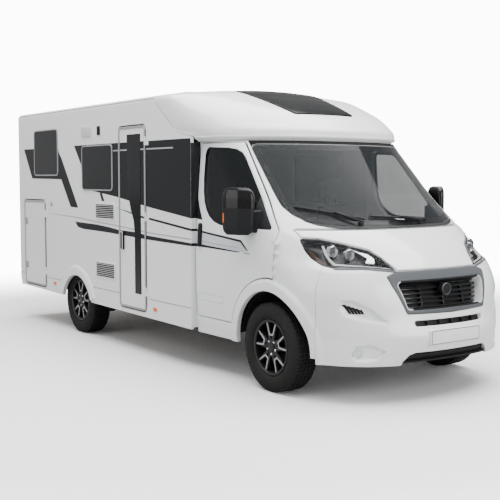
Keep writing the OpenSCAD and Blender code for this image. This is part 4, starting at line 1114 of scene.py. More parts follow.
for name, shape, finish, lift in (("fill", pale_fill, pale_film, 0.0005),
                                  ("line_one", line_one, charcoal_film, 0.0009),
                                  ("line_two", line_two, silver_film, 0.0008),
                                  ("line_three", line_three, charcoal_film, 0.0009),
                                  ("film", black_film, charcoal_film, 0.0009)):
    rules = [side_view(outline(shape)), side_view(door_edge, -0.001), right_side,
             outside(side_view(door_window, 0.003)), outside(side_view(handle_edge, 0.002))]
    door_parts.append((name, panel(cab_skin, rules, 0.001, 0.0003, lift), finish, "black_plastic"))
for part, parts, finish, slot in door_parts:
    for side, turn in SIDES.items():
        replaced = {"skin": [f"cab_door_{side}"], "pane": [f"door_glass_{side}"]}.get(part, [])
        piece(f"cab_door_{side}_{part}", *turn(*parts), finish, f"cab_door_{side}", slot, replaced)
print("door pieces:", 2 * len(door_parts))

# %% [markdown]
# The mirror's shell is a plan outline drawn in towards its top and foot, which gives a dome without
# sculpting. The wipers are bars whose points are looked up on the windscreen, so they lie on its curve.

# %% Mirrors and wipers
mirror_plan = rounded([(axle_x - 0.110, -1.020), (axle_x - 0.345, -1.040), (axle_x - 0.390, -1.198),
                       (axle_x - 0.325, -1.198), (axle_x - 0.225, -1.150)], 0.050, 9)
mirror_middle = mirror_plan.mean(0)
mirror_z = (1.215, 1.585)


def mirror_loops(low, high, grow=0.0):
    loops = []
    for t in np.linspace(low, high, 15):
        end = max(0, abs(2 * t - 1) - 0.55) / 0.45
        draw_in = (0.46 if t > 0.5 else 0.30) * (1 - math.sqrt(max(0, 1 - end * end)))
        flat = mirror_middle + (mirror_plan - mirror_middle) * (1 - draw_in + grow / 0.1)
        loops.append(np.column_stack([flat,
                                      np.full(len(flat), mirror_z[0] + t * (mirror_z[1] - mirror_z[0]))]))
    return loops


glass_u = np.array([-0.045, -0.160, 0]) / np.hypot(0.045, 0.160)
glass_at = plane((axle_x - 0.3675, -1.120, 1.40), (glass_u, Z), (glass_u[1], -glass_u[0], 0))
arm_loops = [np.column_stack([loop[:, 0], np.full(len(loop), y), loop[:, 1]]) for y, loop in (
    (-1.095, rounded(rect(axle_x - 0.305, axle_x - 0.215, 1.245, 1.380), 0.018)),
    (-1.020, rounded(rect(axle_x - 0.308, axle_x - 0.165, 1.232, 1.400), 0.018)),
    (-0.985, rounded(rect(axle_x - 0.310, axle_x - 0.130, 1.228, 1.410), 0.018)))]
mirror_parts = [("housing", stacked(mirror_loops(0.0, 1.0)), black_plastic),
                ("cap", stacked(mirror_loops(0.56, 0.985, 0.0006)), gloss_black),
                ("arm", stacked(arm_loops), black_plastic),
                ("glass", plate(rect(-0.056, 0.056, -0.035, 0.110), 0.015, -0.004, 0.0012, glass_at, 0.001),
                 chrome),
                ("wide_glass",
                 plate(rect(-0.056, 0.056, -0.120, -0.050), 0.015, -0.004, 0.0012, glass_at, 0.001),
                 chrome),
                ("signal",
                 plate(rect(-0.009, 0.009, 0, 0.075), 0.006, -0.004, 0.0002,
                       plane((axle_x - 0.357, -1.198, 1.310), (X, Z), -Y), 0.001),
                 amber_lens)]
for part, parts, finish in mirror_parts:
    for side, turn in SIDES.items():
        piece(f"mirror_{side}_{part}", *turn(*parts), finish, f"cab_door_{side}", "black_plastic",
              [f"mirror_{side}"] if part == "housing" else [])
wiper_parts = []
for pivot, tip, heel in (((-0.390, 1.305), (-0.800, 1.430), (-0.330, 1.330)),
                         ((0.230, 1.305), (-0.260, 1.352), (0.330, 1.318))):
    blade = [cab_at(heel[0] + (tip[0] - heel[0]) * t, heel[1] + (tip[1] - heel[1]) * t, 0.012)
             for t in np.linspace(0, 1, 9)]
    wiper_parts += [bar(blade, 0.008),
                    bar([cab_at(*pivot, 0.004), cab_at(*pivot, 0.026), blade[4] + (0.012, 0, 0.010)],
                        0.009),
                    turned([(0.020, -0.012), (0.020, 0.014), (0.012, 0.022)],
                           plane(cab_at(*pivot), (Y, Z), X), 20)]
piece("wipers", *join(wiper_parts), black_plastic, slot="black_plastic")

# %% [markdown]
# The moulded cap over the cab is a second skin, with a lip along its foot and a dark pane in its top. The
# same loft and the same cutter make it, since on the real vehicle it is one more curved moulding.

# %% Roof cap
cap_levels = [(1.968, -0.318, 0.985, -1.150, 2.50), (2.000, -0.292, 1.015, -1.150, 2.50),
              (2.050, -0.300, 1.040, -1.200, 2.50), (2.120, -0.400, 1.056, -1.300, 2.60),
              (2.200, -0.545, 1.060, -1.400, 2.70), (2.290, -0.780, 1.060, -1.520, 2.80),
              (2.350, -0.955, 1.060, -1.600, 2.80), (2.390, -1.080, 1.044, -1.650, 2.80),
              (2.405, -1.125, 1.005, -1.680, 2.80), (2.430, -1.205, 0.820, -1.740, 2.60),
              (2.455, -1.295, 0.580, -1.800, 2.40), (2.472, -1.390, 0.320, -1.860, 2.20),
              (2.479, -1.480, 0.100, -1.900, 2.10), (2.480, -1.540, 0.001, -1.920, 2.00)]
seam_top_x, seam_foot_x = axle_x - 1.671, axle_x - 1.339
wall_top_z, cap_foot_z = wall_high.z, 1.968
cap_skin = loft(cap_levels, seam_top_x - 0.10, 0.015)
cap_side = outline([(seam_top_x, 2.700), (seam_top_x, wall_top_z), (seam_foot_x, 2.096),
                    (seam_foot_x + 0.020, 2.056), (wall_front_x, cap_foot_z + 0.040),
                    (wall_front_x, cap_foot_z - 0.1), (axle_x + 0.1, cap_foot_z - 0.1),
                    (axle_x + 0.1, 2.700)])
skylight = outline([(axle_x - 1.300, -0.440), (axle_x - 0.560, -0.330), (axle_x - 0.560, 0.330),
                    (axle_x - 1.300, 0.440)], 0.030)
overhead = both(top_view(skylight, 0.001), above(2.05))
piece("roof_cap", *panel(cap_skin, [side_view(cap_side, -0.001), outside(overhead)], 0.030), white_panel,
      slot="white_panel", replaces=["front_cap"])
piece("roof_cap_lip",
      *panel(cap_skin, [side_view(cap_side, -0.001), above(1.988), below(2.012)], 0.010, 0.006, 0.009),
      white_panel, slot="white_panel")
piece("roof_cap_pane", *panel(cap_skin, [top_view(skylight), above(2.05)], 0.03, 0.006, 0.008),
      skylight_pane, slot="dark_acrylic", replaces=["cap_skylight"])
print("roof cap:", len(cap_skin[0]), "points")

# %% [markdown]
# ## The living body
# Walls, doors and panes keep their solids. Frames, handles and louvres are laid on them, each on the body it
# moves with. A frame could be a bevelled curve, but a stack of loops gives its rolled edges exactly.

# %% Frames and seals
entry = (rear_axle_x + 1.060, rear_axle_x + 1.600, 0.412, 2.150)
garage = (rear_x + 0.152, rear_x + 0.777, 0.422, 1.410)
bed_window = (rear_x + 0.488, rear_x + 1.144, 1.684, 2.195)
kitchen_window = (rear_axle_x + 0.245, rear_axle_x + 0.935, 1.532, 1.990)
dinette_window = (wall_front_x - 1.262, wall_front_x - 0.462, 1.400, 1.900)
vents = [(rear_axle_x + 0.555, rear_axle_x + 0.970, foot, foot + 0.155) for foot in (1.250, 0.660)]
corner_r = 0.045
frames = {"bed_window_frame_right": (bed_window, "right"),
          "kitchen_window_frame": (kitchen_window, "right"), "bed_window_frame_left": (bed_window, "left"),
          "dinette_window_frame": (dinette_window, "left")}
for name, (edges, side) in frames.items():
    parts = trim(rect(*edges), corner_r, -0.012, 0.001, 0.0002, 0.0105, right_wall, 0.003)
    piece(name, *SIDES[side](*parts), grey_frame, slot="grey_trim")
for name, edges, body in (("entry_door_frame", entry, "entry_door"),
                          ("garage_door_frame", garage, "garage_door")):
    piece(name, *trim(rect(*edges), corner_r, -0.0265, -0.0055, 0.0005, 0.0062, right_wall, 0.002),
          grey_frame, body, "grey_trim")
    piece(name.replace("frame", "seal"),
          *trim(rect(*edges), corner_r, -0.004, 0.0, -0.020, 0.0006, right_wall, 0.0005), seal_rubber, body,
          "black_plastic")

# %% [markdown]
# The entry door has a moulded handle with a grip, and the garage door has two latches. They are plates
# with rolled edges, and each rides on its own door.

# %% Handles and latches
handle_x = [entry[0] + share * (entry[1] - entry[0]) for share in (0.115, 0.2)]
piece("entry_handle",
      *plate(rect(handle_x[0] - 0.001, handle_x[1] + 0.001, 0.971, 1.149), 0.018, -0.001, 0.0265,
             right_wall, 0.008),
      black_plastic, "entry_door", "black_plastic")
piece("entry_handle_grip",
      *plate(rect(handle_x[0] + 0.010, handle_x[1] - 0.008, 1.000, 1.120), 0.010, 0.024, 0.0285, right_wall,
             0.002),
      gloss_black, "entry_door", "black_plastic")
latches = []
for share in (0.225, 0.745):
    z = garage[2] + share * (garage[3] - garage[2])
    latches += [plate(rect(garage[0] + 0.041, garage[0] + 0.099, z - 0.039, z + 0.039), 0.012, -0.001,
                      0.0095, right_wall, 0.003),
                plate(rect(garage[0] + 0.052, garage[0] + 0.088, z - 0.026, z + 0.012), 0.006, 0.009,
                      0.0115, right_wall, 0.001)]
piece("garage_latches", *join(latches), grey_frame, "garage_door", "grey_trim")

# %% [markdown]
# Louvres are one slanted slat, repeated upwards by the tree, in front of a dark back and inside a rim. A
# striped finish would be flat when seen along the wall.

# %% Vents
slat = stacked([np.array([(x, y, z) for y, z in ((-half_w - 0.0055, 0.0105), (-half_w - 0.0115, 0.001),
                                                 (-half_w - 0.010, -0.0015), (-half_w - 0.0045, 0.006))])
                for x in (vents[0][0] + 0.012, vents[0][1] - 0.012)])
for name, edges in zip(("upper_vent", "lower_vent"), vents):
    slats = repeat((slat[0] + (0, 0, edges[2] + 0.013), slat[1]), 8, black_plastic, step=(0.0, 0.0, 0.018))
    piece(name + "_louvres", *slats, black_plastic, slot="black_plastic")
    piece(name + "_rim", *trim(rect(*edges), 0.015, -0.012, 0.006, 0.0005, 0.0085, right_wall, 0.003),
          white_panel, slot="white_panel")
    piece(name + "_back",
          *plate(rect(edges[0] + 0.01, edges[1] - 0.01, edges[2] + 0.01, edges[3] - 0.01), 0.01, -0.040,
                 -0.031, right_wall),
          tank_plastic, slot="tank_plastic")

# %% [markdown]
# Each film is a band between two lines. It is cut at the entry door, and the door's part moves with it.
# A painted pattern would need no mesh, but its edge would blur when the finish is baked.

# %% Film stripes
def band(upper, lower, start, end):
    """Outline between two lines that run forward, from start to end."""
    upper, lower = np.array(upper), np.array(lower)
    ticks = sorted({start, end, *[x for x in (*upper[:, 0], *lower[:, 0]) if start < x < end]})
    top = [(x, np.interp(x, *upper.T)) for x in ticks]
    foot = [(x, np.interp(x, *lower.T)) for x in ticks]
    if abs(top[0][1] - foot[0][1]) < 1e-4:
        foot = foot[1:]
    if abs(top[-1][1] - foot[-1][1]) < 1e-4:
        foot = foot[:-1]
    return foot + top[::-1]


panel_low = [(-1.398, 1.998), (-1.228, 1.795), (-1.200, 1.600), (-0.970, 1.532), (-0.909, 1.523),
             (-0.406, 1.473), (-0.170, 1.442), (0.188, 1.395), (0.942, 1.314)]
line_a = [(-0.440, 1.372), (0.054, 1.299), (0.186, 1.289), (0.942, 1.216)]
line_b = [(-2.071, 1.265), (-1.359, 1.244), (-0.887, 1.216), (-0.412, 1.194), (-0.053, 1.173), (0.183, 1.155),
          (0.942, 1.135)]
stripes = {"charcoal_panel": (charcoal_film, [(-1.398, 1.998), (0.942, 1.998)], panel_low, 0.0008),
           "silver_line": (silver_film, [(-0.492, 1.931), (0.650, 1.931)],
                           [(-0.492, 1.919), (0.650, 1.919)], 0.0012),
           "upper_line": (charcoal_film,
                          [(x, z + 0.001 + 0.009 * (i > 0)) for i, (x, z) in enumerate(line_a)],
                          [(x, z - 0.001 - 0.009 * (i > 0)) for i, (x, z) in enumerate(line_a)], 0.0008),
           "middle_line": (silver_film,
                           [(x, z + 0.002 + 0.004 * (i > 0)) for i, (x, z) in enumerate(line_b)],
                           [(x, z - 0.002 - 0.004 * (i > 0)) for i, (x, z) in enumerate(line_b)], 0.0008),
           "lower_line": (charcoal_film,
                          [(-1.397, 1.199), (-0.888, 1.189), (-0.583, 1.172), (-0.413, 1.156),
                           (-0.063, 1.150), (0.183, 1.129), (0.942, 1.102)],
                          [(-1.397, 1.199), (-1.326, 1.145), (-1.183, 1.128), (-0.921, 1.125),
                           (-0.585, 1.118), (-0.414, 1.111), (-0.064, 1.100), (0.182, 1.091),
                           (0.942, 1.076)],
                          0.0008),
           "rear_panel": (charcoal_film,
                          [(-2.784, 1.992), (-1.812, 1.992), (-1.785, 1.933), (-1.718, 1.868),
                           (-1.312, 1.346)],
                          [(-2.784, 1.992), (-2.550, 1.653), (-1.738, 1.646), (-1.502, 1.352),
                           (-1.312, 1.346)],
                          0.0008),
           "stub": (charcoal_film, [(-0.805, 1.509), (-0.753, 1.510), (-0.698, 1.429)],
                    [(-0.805, 1.509), (-0.756, 1.428), (-0.698, 1.429)], 0.0008)}
zones = [("rear", "root", -9.0, entry[0] - 0.0085),
         ("door", "entry_door", entry[0] + 0.005, entry[1] - 0.005),
         ("front", "root", entry[1] + 0.0085, wall_front_x - 0.0005)]
for name, (finish, upper, lower, lift) in stripes.items():
    first, last = upper[0][0], upper[-1][0]
    for zone, body, start, end in zones:
        start, end = max(start, first), min(end, last)
        if end - start > 0.01:
            loop = np.array(band(upper, lower, start, end))
            piece(f"{name}_{zone}", *stacked([right_wall(loop, -0.001), right_wall(loop, lift)]), finish,
                  body, "black_plastic")
    loop = np.array(band(upper, lower, first, min(last, wall_front_x - 0.0005)))
    if name != "stub":
        piece(f"{name}_left", *flip_y(*stacked([right_wall(loop, -0.001), right_wall(loop, lift)])), finish,
              slot="black_plastic")

# %% [markdown]
# Small things on the walls: rails over the skirt's seam, the moulded lip of the rear arches, side markers, a
# lock, a ventilation cover and an awning lamp. All are plates or loops laid on the wall's own plane.

# %% Wall details
arch_at, arch_z, rear_arch_r, flare, seam_z = rear_axle_x + 0.070, 0.265, 0.365, 0.105, 0.540
arch_half = math.sqrt((rear_arch_r + flare) ** 2 - (seam_z - arch_z) ** 2) + 0.004
cuts_right = [(rear_x + 0.004, garage[0] - 0.009), (garage[1] + 0.060, arch_at - arch_half),
              (arch_at + arch_half, entry[0] - 0.009), (entry[1] + 0.060, wall_front_x - 0.003)]
cuts_left = [(rear_x + 0.004, arch_at - arch_half), (arch_at + arch_half, wall_front_x - 0.003)]
for name, cuts, turn in (("skirt_rail_right", cuts_right, as_built),
                         ("skirt_rail_left", cuts_left, flip_y)):
    rails = [plate(rect(a, b, seam_z - 0.004, seam_z + 0.004), 0.001, -0.002, 0.0018, right_wall, 0.001)
             for a, b in cuts]
    piece(name, *turn(*join(rails)), grey_frame, slot="grey_trim")
low_angle = math.asin((0.392 - arch_z) / rear_arch_r)
sweep = np.linspace(low_angle, math.pi - low_angle, 49)
lip_loops = []
for r, h in ((-0.0005, -0.024), (-0.0005, 0.010), (0.003, 0.0135), (0.080, 0.0165), (0.088, 0.0145),
             (flare, -0.001)):
    r += rear_arch_r
    lip_loops.append(right_wall(np.column_stack([arch_at + r * np.cos(sweep), arch_z + r * np.sin(sweep)]),
                                h))
across_arc = [np.array([loop[i] for loop in lip_loops]) for i in range(len(sweep))]
for name, turn in (("rear_arch_lip_right", as_built), ("rear_arch_lip_left", flip_y)):
    piece(name, *turn(*stacked(across_arc)), white_panel, slot="white_panel")
markers = [plate(rect(x - 0.030, x + 0.030, z - 0.017, z + 0.017), 0.012, -0.001, 0.010, right_wall, 0.005)
           for x, z in ((0.315, 0.455), (-1.935, 0.490))]
piece("side_markers_right", *join(markers), amber_lens, slot="lamp_glass")
piece("side_markers_left", *flip_y(*join(markers)), amber_lens, slot="lamp_glass")
lock_at = plane((-2.006, -half_w, 1.369), (X, Z), -Y)
piece("filler_lock",
      *turned([(0.024, -0.001), (0.024, 0.004), (0.020, 0.007), (0.006, 0.008)], lock_at, 32), grey_frame,
      slot="grey_trim")
piece("flue_cover", *plate(rect(-1.200, -0.980, 2.080, 2.182), 0.015, -0.001, 0.011, right_wall, 0.005),
      pale_plastic, slot="white_panel")
piece("awning_lamp", *plate(rect(-0.826, -0.779, 2.086, 2.178), 0.010, -0.001, 0.016, right_wall, 0.006),
      black_plastic, slot="black_plastic")

# %% [markdown]
# The roof is one smooth crowned skin with rounded edges and a rail along each. A section drawn once and
# carried from end to end is enough, because the real roof is a bent sheet.

# %% Roof
roof_r, roof_z, crown = 0.055, wall_top_z + 0.055, 0.075
profiles = []
for thick in (0.0, 0.030):
    r = roof_r - thick
    turn_in = [(half_w - roof_r + r * math.cos(a), wall_top_z + r * math.sin(a))
               for a in np.linspace(0, math.pi / 2, 9)]
    flat = [(y, roof_z - thick + crown * (1 - (y / (half_w - roof_r)) ** 2))
            for y in np.linspace(half_w - roof_r, 0, 40)[1:]]
    half = turn_in + flat
    profiles.append(half + [(-y, z) for y, z in half[-2::-1]])
section = np.array(profiles[0] + profiles[1][::-1])
piece("roof_skin",
      *stacked([np.column_stack([np.full(len(section), x), section])
                for x in (rear_x, seam_top_x - 0.001)]),
      white_panel, slot="white_panel", replaces=["roof_panel"])
edge_rail = bar([(x, half_w - 0.0075, wall_top_z + 0.0275)
                 for x in np.linspace(rear_x + 0.02, seam_top_x - 0.02, 6)],
                0.005)
piece("roof_edge_rails", *pair(edge_rail), grey_frame, slot="grey_trim")
seam_loop = [(seam_top_x - 0.003, wall_top_z - 0.004), (seam_foot_x - 0.003, 2.096),
             (seam_foot_x + 0.003, 2.096), (seam_top_x + 0.003, wall_top_z - 0.004)]
seams = plate(seam_loop, 0.0, -0.001, 0.0015, right_wall, 0.0005)
piece("wall_seams", *pair(seams), grey_frame, slot="grey_trim")

# %% [markdown]
# Two upright clusters with round lenses, reflectors in the bumper and a high lamp. Round
# lenses are turned from a profile, which keeps their domes smooth at any size.

# %% Rear lamps and bumper trim
rear_lamp_y = -half_w + 0.1075
bumper_face = plane((rear_x - 0.043, 0, 0), (Y, Z), -X)
for side, turn in SIDES.items():
    middle = plane((rear_x, rear_lamp_y, 0), (-Y, Z), -X)
    piece(f"rear_lamp_base_{side}",
          *turn(*plate(rect(-0.0825, 0.0825, 0.660, 1.130), 0.030, 0.0, 0.033, middle, 0.010)), gloss_black,
          slot="rear_lamp_red", replaces=["rear_lamps"] if side == "right" else [])
    for part, z, finish in (("reverse", 0.740, white_lens), ("turn", 0.895, amber_lens),
                            ("brake", 1.050, red_lens)):
        at = plane((rear_x, rear_lamp_y, z), (-Y, Z), -X)
        piece(f"rear_lens_{part}_{side}",
              *turn(*turned([(0.060, 0.028), (0.060, 0.036), (0.054, 0.0395), (0.035, 0.0412),
                             (0.010, 0.0416)],
                            at)),
              finish, slot="rear_lamp_red")
        piece(f"rear_ring_{part}_{side}",
              *turn(*turned([(0.0605, 0.030), (0.067, 0.030), (0.067, 0.036), (0.064, 0.039),
                             (0.0605, 0.037)],
                            at, 48, True)),
              chrome, slot="rear_lamp_red")
    piece(f"rear_reflector_{side}",
          *turn(*plate(rect(-half_w + 0.112, -half_w + 0.248, 0.522, 0.558), 0.006, -0.006, -0.001,
                       bumper_face, 0.001)),
          red_lens, slot="rear_lamp_red")
rear_face = plane((rear_x, 0, 0), (-Y, Z), -X)
piece("rear_high_lamp", *plate(rect(-0.170, 0.170, 2.262, 2.292), 0.012, -0.001, 0.012, rear_face, 0.004),
      red_lens, slot="rear_lamp_red")
rear_rail = plate(rect(half_w - 0.026, half_w - 0.002, 0.640, wall_top_z), 0.004, -0.001, 0.004, rear_face,
                  0.002)
piece("rear_corner_rails", *pair(rear_rail), pale_plastic, slot="grey_trim")
outline_lamp = plate(rect(half_w - 0.115, half_w - 0.060, 2.262, 2.292), 0.010, -0.001, 0.012, rear_face,
                     0.004)
piece("rear_outline_lamps", *pair(outline_lamp), red_lens, slot="rear_lamp_red")

# %% [markdown]
# ## Wheels
# One wheel is built about its own axle and set four times. Tread blocks, spokes and bolts come from
# the repeat tree. Bump alone would leave the tyre's outline smooth, so the tread is real.

# %% Tyres and wheels
own_axle = plane((0, 0, 0), (X, Z), Y)
outer = [(0.206, 0.0735), (0.206, 0.0875), (0.219, 0.0875), (0.2235, 0.092), (0.236, 0.1045), (0.256, 0.1115),
         (0.280, 0.1122), (0.305, 0.1085), (0.324, 0.1005), (0.336, 0.0905), (0.3415, 0.080), (0.3425, 0.060)]
inner = [(0.322, 0.0825), (0.256, 0.0965)]
profile = outer + [(r, -h) for r, h in outer[::-1]] + [(r, -h) for r, h in inner[::-1]] + inner
tread_rows, spokes = 72, 5
tyre_parts = [turned(profile, own_axle, 96, True)]
for h, wide, top in ((0.0, 0.015, 0.3497), (0.0365, 0.0155, 0.3497), (-0.0365, 0.0155, 0.3497),
                     (0.0735, 0.0165, 0.3485), (-0.0735, 0.0165, 0.3485)):
    block = stacked([np.array([(-x, h - w, z), (x, h - w, z), (x + s, h + w, z), (-x + s, h + w, z)])
                     for x, w, z, s in ((0.0128, wide, 0.336, 0.004), (0.0128, wide, top - 0.002, 0.004),
                                        (0.0118, wide - 0.001, top, 0.004))])
    tyre_parts.append(repeat(block, tread_rows, tyre_rubber, turn=(0.0, 2 * math.pi / tread_rows, 0.0)))
tyre = join(tyre_parts)
print("tyre:", len(tyre[0]), "points")

# %% [markdown]
# The spokes are black with machined edges, and the centre cap stays plain. One pair of arms is two plates
# with rolled edges, and the tree sets it round the axle. The rim and the hub are turned profiles.

# %% Spokes, hub and rim
spoke = [(0.004, 0.055), (0.034, 0.060), (0.066, 0.194), (0.040, 0.197), (0.014, 0.110)]
spoke_turn = (0.0, 2 * math.pi / spokes, 0.0)
arms = []
fork = [(-0.066, 0.196), (-0.052, 0.196), (-0.016, 0.106), (0.016, 0.106), (0.052, 0.196), (0.066, 0.196),
        (0.024, 0.093), (-0.024, 0.093)]
edges = plate(fork, 0.003, 0.084, 0.0885, own_axle, 0.001)
for sign in (1, -1):
    corners = [(sign * u, v) for u, v in spoke][::sign]
    arms.append(plate(corners, 0.010, 0.046, 0.0865, own_axle, 0.004))
barrel = turned([(0.186, -0.096), (0.2165, -0.096), (0.218, -0.094), (0.218, -0.088), (0.2056, -0.088),
                 (0.2056, 0.088), (0.218, 0.088), (0.218, 0.094), (0.2165, 0.096), (0.200, 0.096),
                 (0.196, 0.092), (0.190, 0.040), (0.190, -0.088)],
                own_axle, 96, True)
hub = turned([(0.036, 0.0), (0.072, 0.0), (0.072, 0.072), (0.066, 0.080), (0.036, 0.080)], own_axle, 60,
             True)
bolt = turned([(0.0095, 0.070), (0.0095, 0.086), (0.0065, 0.089)], plane((0.0318, 0, 0.0437), (X, Z), Y), 6)
cap = turned([(0.0345, 0.060), (0.0345, 0.083), (0.030, 0.0870), (0.014, 0.0885)], own_axle, 40)
lip_ring = turned([(0.2035, 0.0945), (0.2172, 0.0945), (0.2165, 0.0966), (0.2045, 0.0966)], own_axle, 96,
                  True)
wheel = {"black": (join([barrel, hub, lip_ring, repeat(join(arms), spokes, wheel_black, turn=spoke_turn)]),
                   wheel_black),
         "machined": (repeat(edges, spokes, machined, turn=spoke_turn), machined),
         "bolts": (repeat(bolt, spokes, chrome, turn=spoke_turn), chrome), "cap": (cap, gloss_black)}
for name, (x, y, side) in wheel_places.items():
    for part, (parts, finish) in {"tyre_skin": (tyre, tyre_rubber), **wheel}.items():
        points, faces = parts if side > 0 else flip_y(*parts)
        replaced = {"tyre_skin": [f"tyre_{name}"], "black": [f"wheel_{name}"]}.get(part, [])
        piece(f"wheel_{name}_{part}", points + (x, y, tyre_r), faces, finish, f"wheel_{name}",
              "tyre_rubber" if part == "tyre_skin" else "alloy_wheel", replaced)

# %% [markdown]
# ## Seats
# A seat is three stuffed pieces on a plain base. Each is two crowned sheets that meet at a rounded
# side, drawn in between its corners and along its sewn channels. A formula gives the same seat each run,
# where a cloth simulation would take longer and could change.

# %% Padded seats
def cushion(wide, long, thick, channels=(), flat=0.55):
    """Stuffed piece about the origin: u across, v along, height up."""
    n = 33
    u, v = np.meshgrid(np.linspace(-1, 1, n), np.linspace(-1, 1, n), indexing="ij")
    x = u * np.sqrt(1 - 0.16 * v * v) * (1 - 0.025 * (1 - v * v))
    y = v * np.sqrt(1 - 0.16 * u * u) * (1 - 0.025 * (1 - u * u))
    rise = 0.34 + 0.66 * np.sqrt(np.clip((1 - u ** 4) * (1 - v ** 4), 0, 1))
    for across, place in channels:
        rise = rise - 0.10 * np.exp(-(((u if across else v) - place) / 0.045) ** 2)
    top = np.stack([x * wide / 2, y * long / 2, rise * thick / 2], -1).reshape(-1, 3)
    base = top * (1, 1, -flat)
    index = np.arange(n * n).reshape(n, n)
    rim = np.concatenate([index[:-1, 0], index[-1, :-1], index[:0:-1, -1], index[0, :0:-1]])
    side = top[rim] * (1.015, 1.015, 0.15)
    a, b, c, d = (index[:-1, :-1], index[1:, :-1], index[1:, 1:], index[:-1, 1:])
    quads = np.stack([a, b, c, d], -1).reshape(-1, 4)
    faces = quads.tolist() + (quads[:, ::-1] + n * n).tolist()
    for i in range(len(rim)):
        j = (i + 1) % len(rim)
        mid_i, mid_j = 2 * n * n + i, 2 * n * n + j
        faces += [[rim[j], rim[i], mid_i, mid_j], [mid_j, mid_i, rim[i] + n * n, rim[j] + n * n]]
    return np.concatenate([top, base, side]), faces


def turned_about_y(points, degrees, place):
    c, s = math.cos(math.radians(degrees)), math.sin(math.radians(degrees))
    return points @ np.array([(c, 0, -s), (0, 1, 0), (s, 0, c)]) + place


# %% [markdown]
# Cushion, back and headrest are the same stuffed piece in three sizes, each turned and set in place. The
# seams are shallow channels in its height, which show better than bump through the windscreen.

# %% Both seats
lengthwise = [(False, -0.55), (False, -0.1), (False, 0.35)]
seat_shapes = {"cushion": ((0.500, 0.520, 0.120, [(True, -0.62), (True, 0.62)] + lengthwise), 0.0,
                           (0.255, 0.225)),
               "back": ((0.480, 0.640, 0.125, [(True, -0.62), (True, 0.62)] + lengthwise), -79.0,
                        (-0.035, 0.590)),
               "headrest": ((0.265, 0.185, 0.095, []), -85.0, (-0.105, 1.030))}
for side, sign in (("right", -1), ("left", 1)):
    seat_at = np.array([wall_front_x + 0.130, sign * 0.470, 0.520])
    for part, (sizes, tilt, (x, z)) in seat_shapes.items():
        points, faces = cushion(*sizes)
        points = turned_about_y(points[:, [1, 0, 2]], tilt, seat_at + (x, 0, z))
        made = piece(f"seat_{part}_{side}", points, [f[::-1] for f in faces], seat_cloth, slot="seat_fabric",
                     replaces=["cab_seats"] if (part, side) == ("cushion", "right") else [])
    frame_at = plane(seat_at, (X, Y), Z)
    posts = [bar([seat_at + (-0.080, y, 0.860), seat_at + (-0.098, y, 0.960)], 0.008)
             for y in (-0.06, 0.06)]
    base = plate(rect(0.060, 0.420, -0.170, 0.170), 0.030, 0.0, 0.190, frame_at, 0.012)
    piece(f"seat_base_{side}", *join([base] + posts), black_plastic, slot="black_plastic")

# %% [markdown]
# What isn't redrawn keeps its solid and only gets a finish, and a few solids get softened edges. A second
# mesh over a good solid would only add weight.

# %% Finishes of the solids that stay
kept = {chassis_paint: ["chassis_frame", "cross_members", "front_subframe", "rear_axle", "knuckle_left",
                        "knuckle_right"],
        white_paint: ["cab_hinges"], cast_iron: ["engine_block"],
        tank_plastic: ["radiator", "underfloor_tanks", "front_wheelhouses", "rear_wheelhouses",
                       "cab_floor"],
        exhaust_steel: ["exhaust"], plank_board: ["floor_panel"],
        white_panel: ["side_wall_left", "side_wall_right", "rear_wall", "entry_door_leaf",
                      "garage_door_leaf", "fridge_vents", "skirts", "rear_bumper", "roof_hatches"],
        smoked_acrylic: ["windows_left", "windows_right", "entry_door_window"],
        black_plastic: ["dashboard", "steering_wheel"]}
for finish, names in kept.items():
    for name in names:
        nodes[name].data.materials.clear()
        nodes[name].data.materials.append(finish)
for name, width in (("windows_left", 0.004), ("windows_right", 0.004), ("rear_bumper", 0.006),
                    ("dashboard", 0.018)):
    bevelled(nodes[name], width)
print("solids that stay:", sum(map(len, kept.values())))

# %% [markdown]
# ## Floor, light and camera
# A pale floor and a white surround with three large soft lights, as in a vehicle studio. A backdrop picture
# would do for one view only, and this light suits every side.

# %% Stage
floor_fade = (4.2, 9.0)
fill_light, surround_glow = 0.62, 12.0


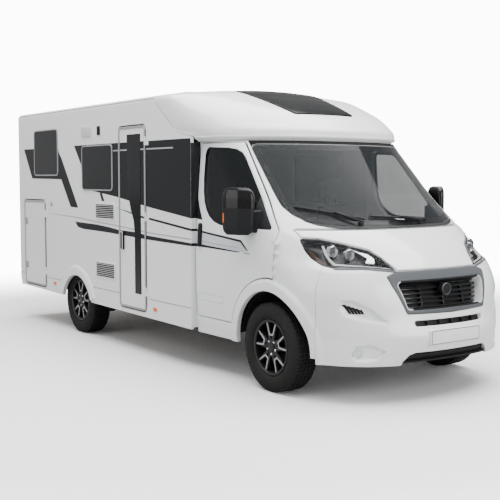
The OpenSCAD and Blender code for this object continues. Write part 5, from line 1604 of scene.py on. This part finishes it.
def stage():
    bpy.ops.mesh.primitive_plane_add(size=120, location=(0, 0, 0))
    ground = bpy.context.object
    ground.name = "studio_floor"
    f = Finish("studio_floor", Roughness=0.6)
    seen_first = f.node("LightPath", out="Is Camera Ray")
    away = f.step(f.node("VectorMath", {"operation": "LENGTH"}, {0: f.place}, out="Value"), *floor_fade)
    f.feed(f.shader,
           {"Base Color": f.mix(seen_first * (0.97 + f.noise(0.3) * 0.03), rgb(0.34), rgb(0.95)),
            "Emission Color": f.mix(seen_first * away, rgb(0.0), rgb(1.0)),
            "Emission Strength": surround_glow})
    ground.data.materials.append(f.material)
    world = bpy.data.worlds.new("studio")
    world.use_nodes = True
    nodes_of, link = world.node_tree.nodes, world.node_tree.links.new
    lit, shown = nodes_of["Background"], nodes_of.new("ShaderNodeBackground")
    path, blend = nodes_of.new("ShaderNodeLightPath"), nodes_of.new("ShaderNodeMixShader")
    for back, strength in ((lit, fill_light), (shown, surround_glow)):
        back.inputs[0].default_value = (1.0, 1.0, 1.0, 1.0)
        back.inputs[1].default_value = strength
    link(path.outputs["Is Camera Ray"], blend.inputs[0])
    link(lit.outputs[0], blend.inputs[1])
    link(shown.outputs[0], blend.inputs[2])
    link(blend.outputs[0], nodes_of["World Output"].inputs[0])
    bpy.context.scene.world = world
    for name, place, aim, size, watts in (
            ("overhead_softbox", (0.5, 0.5, 9.0), (0.5, 0.5, 0.0), 13.0, 3300),
            ("side_softbox", (1.0, -10.0, 4.0), (0, 0, 1.2), 6.0, 260),
            ("front_softbox", (10.5, 1.0, 3.5), (1.5, 0, 1.0), 5.0, 480)):
        data = bpy.data.lights.new(name, "AREA")
        data.size = size
        data.energy = watts
        lamp = bpy.data.objects.new(name, data)
        lamp.location = place
        lamp.rotation_euler = (Vector(aim) - Vector(place)).to_track_quat("-Z", "Y").to_euler()
        bpy.context.scene.collection.objects.link(lamp)


stage()

# %% [markdown]
# The camera stands where the photograph was taken, worked out from the wheels and the front plate.
# Its angles are kept as yaw and pitch, because these are easy to read and to nudge.

# %% Camera
lens = bpy.data.cameras.new("photo_camera")
lens.lens, lens.sensor_width = 66.95, 36.0
camera = bpy.data.objects.new("photo_camera", lens)
yaw, pitch = math.radians(144.729), math.radians(-4.433)
camera.location = (7.728, -5.240, 1.660)
looks = Vector((math.cos(pitch) * math.cos(yaw), math.cos(pitch) * math.sin(yaw), math.sin(pitch)))
camera.rotation_euler = looks.to_track_quat("-Z", "Y").to_euler()
bpy.context.scene.collection.objects.link(camera)
bpy.context.scene.camera = camera
print("camera at", [round(x, 2) for x in camera.location])
